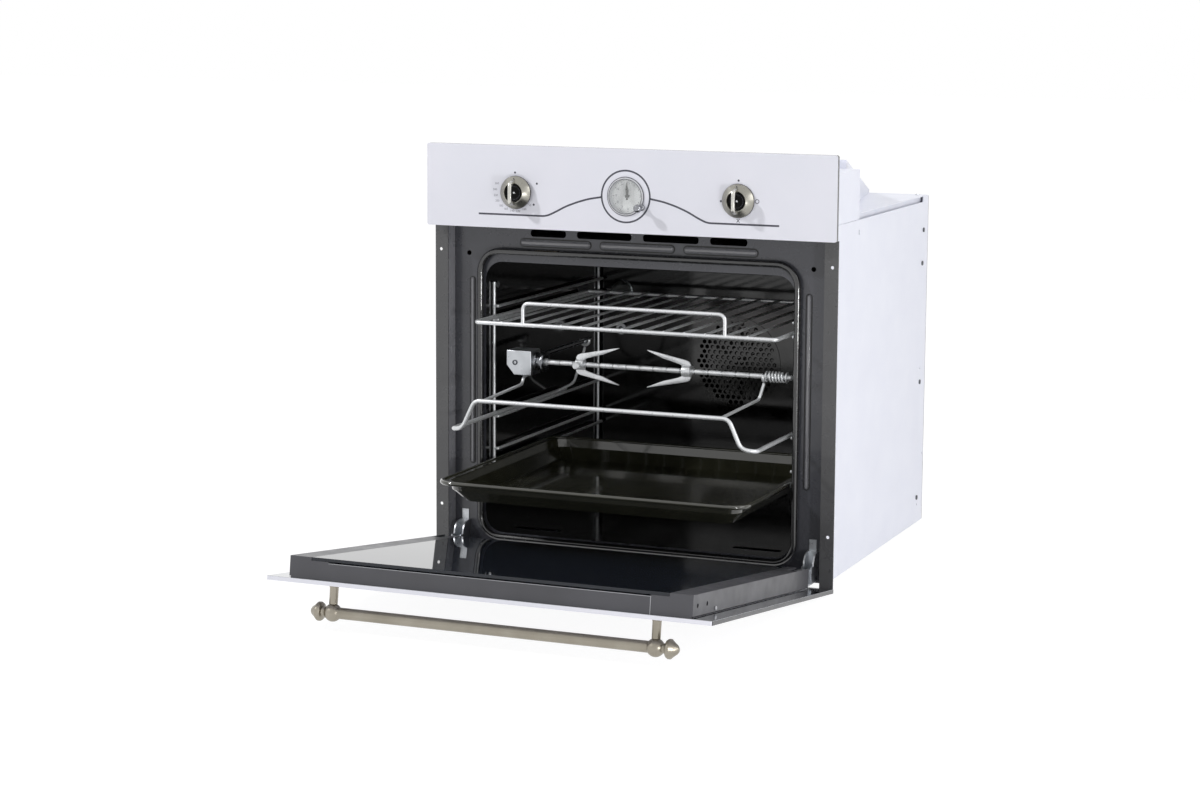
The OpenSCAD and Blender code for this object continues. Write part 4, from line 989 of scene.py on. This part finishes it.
@dataclass
class Spit(Assembly):
    """The rotisserie: cradle, gearbox, notched rod, spring and two forks."""

    body: str = "cradle"
    front: float = -90.0
    rail_z: float = 210.0
    length: float = 400.0
    rear_wire: float = 372.0
    rest_x: float = 182.0
    stay_x: float = -171.0
    drive_x: float = -176.5
    notch_pitch: float = 20.0
    notches_to: float = 184.0
    collars: Pair = (185.0, 214.0)

    def build(self) -> None:
        """Builds the rotisserie and seats it."""
        self.cradle()
        self.gearbox()
        self.rod()
        self.spring()
        self.fork("left_fork", "fork_left", -88.0, 0.0)
        self.fork("right_fork", "fork_right", 70.0, pi)

    def cradle(self) -> None:
        """The bent outer wire, the carriers and their loops."""
        y, top = self.front, self.rail_z + 42
        rear = y + self.rear_wire
        side = [(RUNNER_X, y + self.length, self.rail_z), (RUNNER_X, y + 6, self.rail_z),
                (201, y - 1, self.rail_z + 3), (183, y, top)]
        route = [at(-x, *rest) for x, *rest in side] + [at(*p) for p in reversed(side)]
        frame = wire("cradle_frame", [bent(route, 0.009)], 3.0)
        gear_z = SPIT_Z - 18.5 - 0.3 - 2.2
        carriers = wire("cradle_carriers", [bent([at(*p) for p in route], 0.007) for route in (
            ((172, y, top), (175, SPIT_Y, top + 4), (self.rest_x, SPIT_Y, SPIT_Z - 9.5)),
            [(self.stay_x, *rest) for rest in (
                (y, top), (SPIT_Y - 14, top + 5), (SPIT_Y - 8, gear_z), (SPIT_Y + 14, gear_z))],
            ((-RUNNER_X, rear, self.rail_z), (-194, rear, self.rail_z + 14),
             (self.drive_x, rear, SPIT_Z - 10.1)))], 2.2)
        arc = [radians(166 + k * 13) for k in range(17)]
        loops = [[centre + (across * cos(a) + Vector((0, 0, sin(a)))) * reach * MM for a in arc]
                 for centre, reach, across in ((at(self.rest_x, SPIT_Y, SPIT_Z), 6.3, Vector((0, 1, 0))),
                                               (at(self.drive_x, rear, SPIT_Z), 6.8, Vector((1, 0, 0))))]
        saddles = wire("cradle_loops", loops, 2.4)
        self.seat(join([frame, carriers, saddles], "cradle_wires"), Slot.CHROME, WIRE_CHROME, "spit_cradle")

    def gearbox(self) -> None:
        """The folded box, its neck and the rivet in its face."""
        case = [(-17.5, -5), (-6, -18.5), (20, -18.5), (20, 16), (-17.5, 16)]
        box = plate("gearbox_case", case, -17, 16, on_front(self.drive_x, SPIT_Y, SPIT_Z))
        soften(box, 1.0, 3)
        self.seat(box, Slot.ZINC, ZINC, "spit_gearbox")
        self.turned("gearbox_neck", [
            (6.2, 20.0), (13.0, 20.0), (13.0, 24.0), (9.0, 25.4), (9.0, 31.0), (14.0, 32.4), (14.0, 36.0),
            (6.2, 36.0)], at(self.drive_x, SPIT_Y, SPIT_Z), Slot.ZINC, NECK_STEEL, rounding=0.5,
            along=Along.X, sides=48, ring=True)
        self.turned("gearbox_rivet", [(2.2, 0.0), (2.2, -1.0), (2.6, -1.4), (3.6, -1.2), (3.8, 0.0)],
                    at(self.drive_x - 4.5, SPIT_Y - 16, SPIT_Z - 1), Slot.ZINC, DULL_ZINC, sides=32,
                    ring=True)

    def rod(self) -> None:
        """The rod with its notches and collars."""
        profile: list[Pair] = [(5.0, self.drive_x + 12.0), (5.0, self.drive_x + 38.0),
                               (3.5, self.drive_x + 38.2)]
        x = self.drive_x + 58.0
        while x < self.notches_to:
            profile += [(3.5, x - 1.2), (2.4, x - 0.9), (2.4, x + 0.9), (3.5, x + 1.2)]
            x += self.notch_pitch
        for collar in self.collars:
            profile += [(3.5, collar), (7.6, collar + 0.05), (7.6, collar + 1.4), (3.5, collar + 1.45)]
        profile += [(3.5, 220.5), (2.4, 222.0)]
        rod = lathe("spit_shaft", profile, at(0, SPIT_Y, SPIT_Z), Along.X, sides=32)
        smooth(rod, 30)
        self.seat(rod, Slot.CHROME, WIRE_CHROME, "spit_rod", body="spit")

    def spring(self) -> None:
        """The spring, wound finer than its CAD form."""
        curls, steps, start, end, wire_r, mean = 5, 28, 186.4, 214.0, 1.3, 6.5
        run_in = 2 * wire_r
        points = [at(start, SPIT_Y + mean, SPIT_Z)]
        count = curls * steps
        for i in range(count + 1):
            a = 2 * pi * i / steps
            x = start + run_in + (end - start - 2 * run_in) * i / count
            points.append(at(x, SPIT_Y + mean * cos(a), SPIT_Z + mean * sin(a)))
        points.append(at(end, SPIT_Y + mean, SPIT_Z))
        self.seat(wire("spit_coil", [points], wire_r), Slot.CHROME, WIRE_CHROME, "spit_spring", body="spit")

    def fork(self, body: str, node: str, x: float, turn: float) -> None:
        """A meat fork: hub, two tapered tines and a thumbscrew."""
        centre = at(x, SPIT_Y, SPIT_Z)
        facing = Matrix.Rotation(turn, 4, "Z")
        hub = lathe(f"{body}_hub", [(3.6, -6.0), (8.0, -6.0), (8.0, 6.0), (3.6, 6.0)], centre, Along.X,
                    sides=40, ring=True)
        soften(hub, 0.6)
        tines = []
        edge = ((-6, 6), (-6, 9.5), (-4, 13), (0, 14.8), (6, 16), (40, 22.8), (50, 24.9), (58, 26.0),
                (58, 25.4), (46, 20.4), (34, 15.6), (20, 12), (10, 9.0), (5, 6))
        for side in (1, -1):
            tine = plate(f"{body}_tine", [(out, side * up) for out, up in edge], -1.5, 1.5,
                         Matrix.Translation(centre) @ facing @ FRONT)
            soften(tine, 0.6)
            tines.append(tine)
        stem = lathe(f"{body}_screw", [(2.0, -4.0), (2.0, -9.0), (4.4, -9.2), (5.0, -10.0), (5.0, -18.2),
                                       (4.2, -19.0)], centre, sides=28, turn=facing @ Along.BACK.turn())
        soften(stem, 0.3)
        self.seat(join([hub, stem] + tines, f"{body}_body"), Slot.CHROME, WIRE_CHROME, node, body=body)


@dataclass
class Shelf(Assembly):
    """The wire shelf with its guard rail."""

    body: str = "shelf"
    front: float = -9.0
    length: float = 404.0
    level: float = 348.0
    pitch: float = 30.0
    guard_x: float = 147.5

    def build(self) -> None:
        """Builds the shelf's wires and seats them."""
        y0, y1, z = self.front, self.front + self.length, self.level
        ends = ((-RUNNER_X, y0), (RUNNER_X, y0), (RUNNER_X, y1), (-RUNNER_X, y1))
        loop = bent([at(x, y, z) for x, y in ends], 0.008, closed=True)
        rim = wire("shelf_rim", [loop], 3.0, closed=True)
        count = int(205 // self.pitch)
        rods = wire("shelf_rods", [[at(i * self.pitch, y, z + 1.7) for y in (y0 - 1.5, y1 + 1.5)]
                                   for i in range(-count, count + 1)], 1.9)
        half, high = self.guard_x, z + 30
        corners = ((-half, z), (-half, high), (half, high), (half, z))
        guard = wire("shelf_guard", [bent([at(x, y0, up) for x, up in corners], 0.01)], 2.7)
        self.seat(join([rim, rods, guard], "shelf_wires"), Slot.CHROME, WIRE_CHROME, "wire_shelf")


@dataclass
class Door(Assembly):
    """The door's backing plate, the pale strips of painted highlight on its rail, and its stud, besides its
    CAD nodes.
    """

    body: str = "door"
    side: float = 269.5

    def build(self) -> None:
        """Builds the door's small pieces and seats them."""
        backing = surround("door_backing", (-296.5, -5.5), (296.5, 475.5), (-270.5, 21.5), (270.5, 467.5),
                           5.02, 5.4, DOOR)
        self.seat(backing, Slot.ZINC, MIRROR_STEEL)
        # Thin pale strips along the front rail's top edge and right end, which are painted highlights.
        edges = [block("rail_highlight_strip", (-215.6, 26.1, 466.8), (215.6, 26.8, 467.7), 0.2, DOOR),
                 block("rail_highlight_strip", (215.1, 5.3, 467.2), (215.9, 26.8, 467.8), 0.2, DOOR)]
        self.seat(join(edges, "door_rail_highlights"), Slot.PALE, STUD_GREY_AND_HIGHLIGHT)
        self.turned("door_stud", [(2.8, 0.0), (2.8, 0.9), (2.0, 1.5)], on_door(self.side, 11.0, 388.0),
                    Slot.PALE, STUD_GREY_AND_HIGHLIGHT, rounding=0.3, sides=24, turn=DOOR_TURN @ Along.X.turn())


@dataclass
class Studio:
    """Camera, floor, lamps and white background."""

    eye: Point = (1315.7, -3282.5, 818.9)
    yaw: float = -22.417
    pitch: float = -7.760
    roll: float = 0.327
    lens: float = 78.78
    sensor: float = 36.0
    shift: Pair = (0.0012, -0.0517)
    clip: Pair = (0.05, 60.0)
    floor_z: float = 6.5
    floor_share: float = 0.8
    floor_glow: float = 1.15
    air: float = 0.51

    def camera(self) -> None:
        """The camera at the photograph's angle."""
        data = bpy.data.cameras.new("photo_camera")
        data.sensor_width, data.lens = self.sensor, self.lens
        data.shift_x, data.shift_y = self.shift
        data.clip_start, data.clip_end = self.clip
        camera = bpy.data.objects.new("photo_camera", data)
        bpy.context.collection.objects.link(camera)
        yaw, pitch, roll = (radians(a) for a in (self.yaw, self.pitch, self.roll))
        turn = (Matrix.Rotation(-yaw, 4, "Z") @ Matrix.Rotation(pi / 2 + pitch, 4, "X")
                @ Matrix.Rotation(roll, 4, "Z"))
        camera.matrix_world = Matrix.Translation(at(*self.eye)) @ turn
        bpy.context.scene.camera = camera

    def lamp(self, name: str, place: Point, target: Point, size: float, power: float) -> None:
        """A square soft lamp in the row frame in metres, aimed at a point."""
        data = bpy.data.lights.new(name, "AREA")
        data.shape, data.size, data.energy = "SQUARE", size, power
        lamp = bpy.data.objects.new(name, data)
        bpy.context.collection.objects.link(lamp)
        lamp.location = place
        lamp.rotation_euler = (Vector(target) - Vector(place)).to_track_quat("-Z", "Y").to_euler()

    def backdrop(self) -> None:
        """The white floor, which keeps the object's shadow."""
        clear_bench()
        bpy.ops.mesh.primitive_plane_add(size=30.0, location=(0, 0, at(0, 0, self.floor_z).z))
        floor = bpy.context.object
        floor.name = "studio_floor"
        shader = Shader("studio_floor")
        put(shader.body, Base_Color=(0.9, 0.9, 0.9, 1.0), Roughness=0.9)
        glow = add_node(shader.tree, "Emission", Strength=self.floor_glow)
        rays = seen_by(shader.tree, "Is Camera Ray", "Is Glossy Ray")
        share = calculate(shader.tree, "MULTIPLY", rays, self.floor_share)
        mix_out(shader.tree, share, shader.body.outputs["BSDF"], glow.outputs["Emission"], "Material Output")
        floor.data.materials.append(shader.material)

    def world(self) -> None:
        """White where the camera, glass and metal look, and softer for the light it gives."""
        world = bpy.data.worlds.new("studio_air")
        bpy.context.scene.world = world
        world.use_nodes = True
        tree = world.node_tree
        base = tree.nodes["Background"]
        put(base, Color=(1, 1, 1, 1), Strength=self.air)
        white = add_node(tree, "Background", Color=(1, 1, 1, 1))
        rays = seen_by(tree, "Is Camera Ray", "Is Glossy Ray", "Is Transmission Ray")
        mix_out(tree, rays, base.outputs["Background"], white.outputs["Background"], "World Output")

    def build(self) -> None:
        """Sets up the studio."""
        self.camera()
        self.backdrop()
        self.world()
        self.lamp("key_lamp", (-2.0, -1.48, 1.95), (0.0, 0.0, 0.25), 0.14, 42.0)
        self.lamp("low_lamp", (1.39, -1.15, -0.08), (0.0, 0.0, 0.25), 0.14, 6.0)
        self.lamp("side_lamp", (3.0, -0.4, 1.2), (0.28, 0.2, 0.0), 1.6, 24.0)
        self.lamp("top_lamp", (0.3, 0.9, 2.4), (0.0, 0.2, 0.1), 1.4, 14.0)
        bpy.context.scene.view_settings.view_transform = "Standard"


def main() -> None:
    """Paints the CAD nodes and builds the sub-assemblies in order."""
    logging.basicConfig(level=logging.INFO, format="%(name)s %(message)s")
    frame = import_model()
    Studio().build()
    Shell().dress(frame["nodes"])
    Pressings().build()
    Door().build()
    Prints().build()
    Knob(body="temperature", name="gas_knob", node="temperature_knob", x=-KNOB_X, back=-3.7).build()
    Knob(body="function", name="switch_knob", node="function_knob", x=KNOB_X).build()
    Clock().build()
    Handle().build()
    Spit().build()
    Shelf().build()


if __name__ == "__main__":
    main()
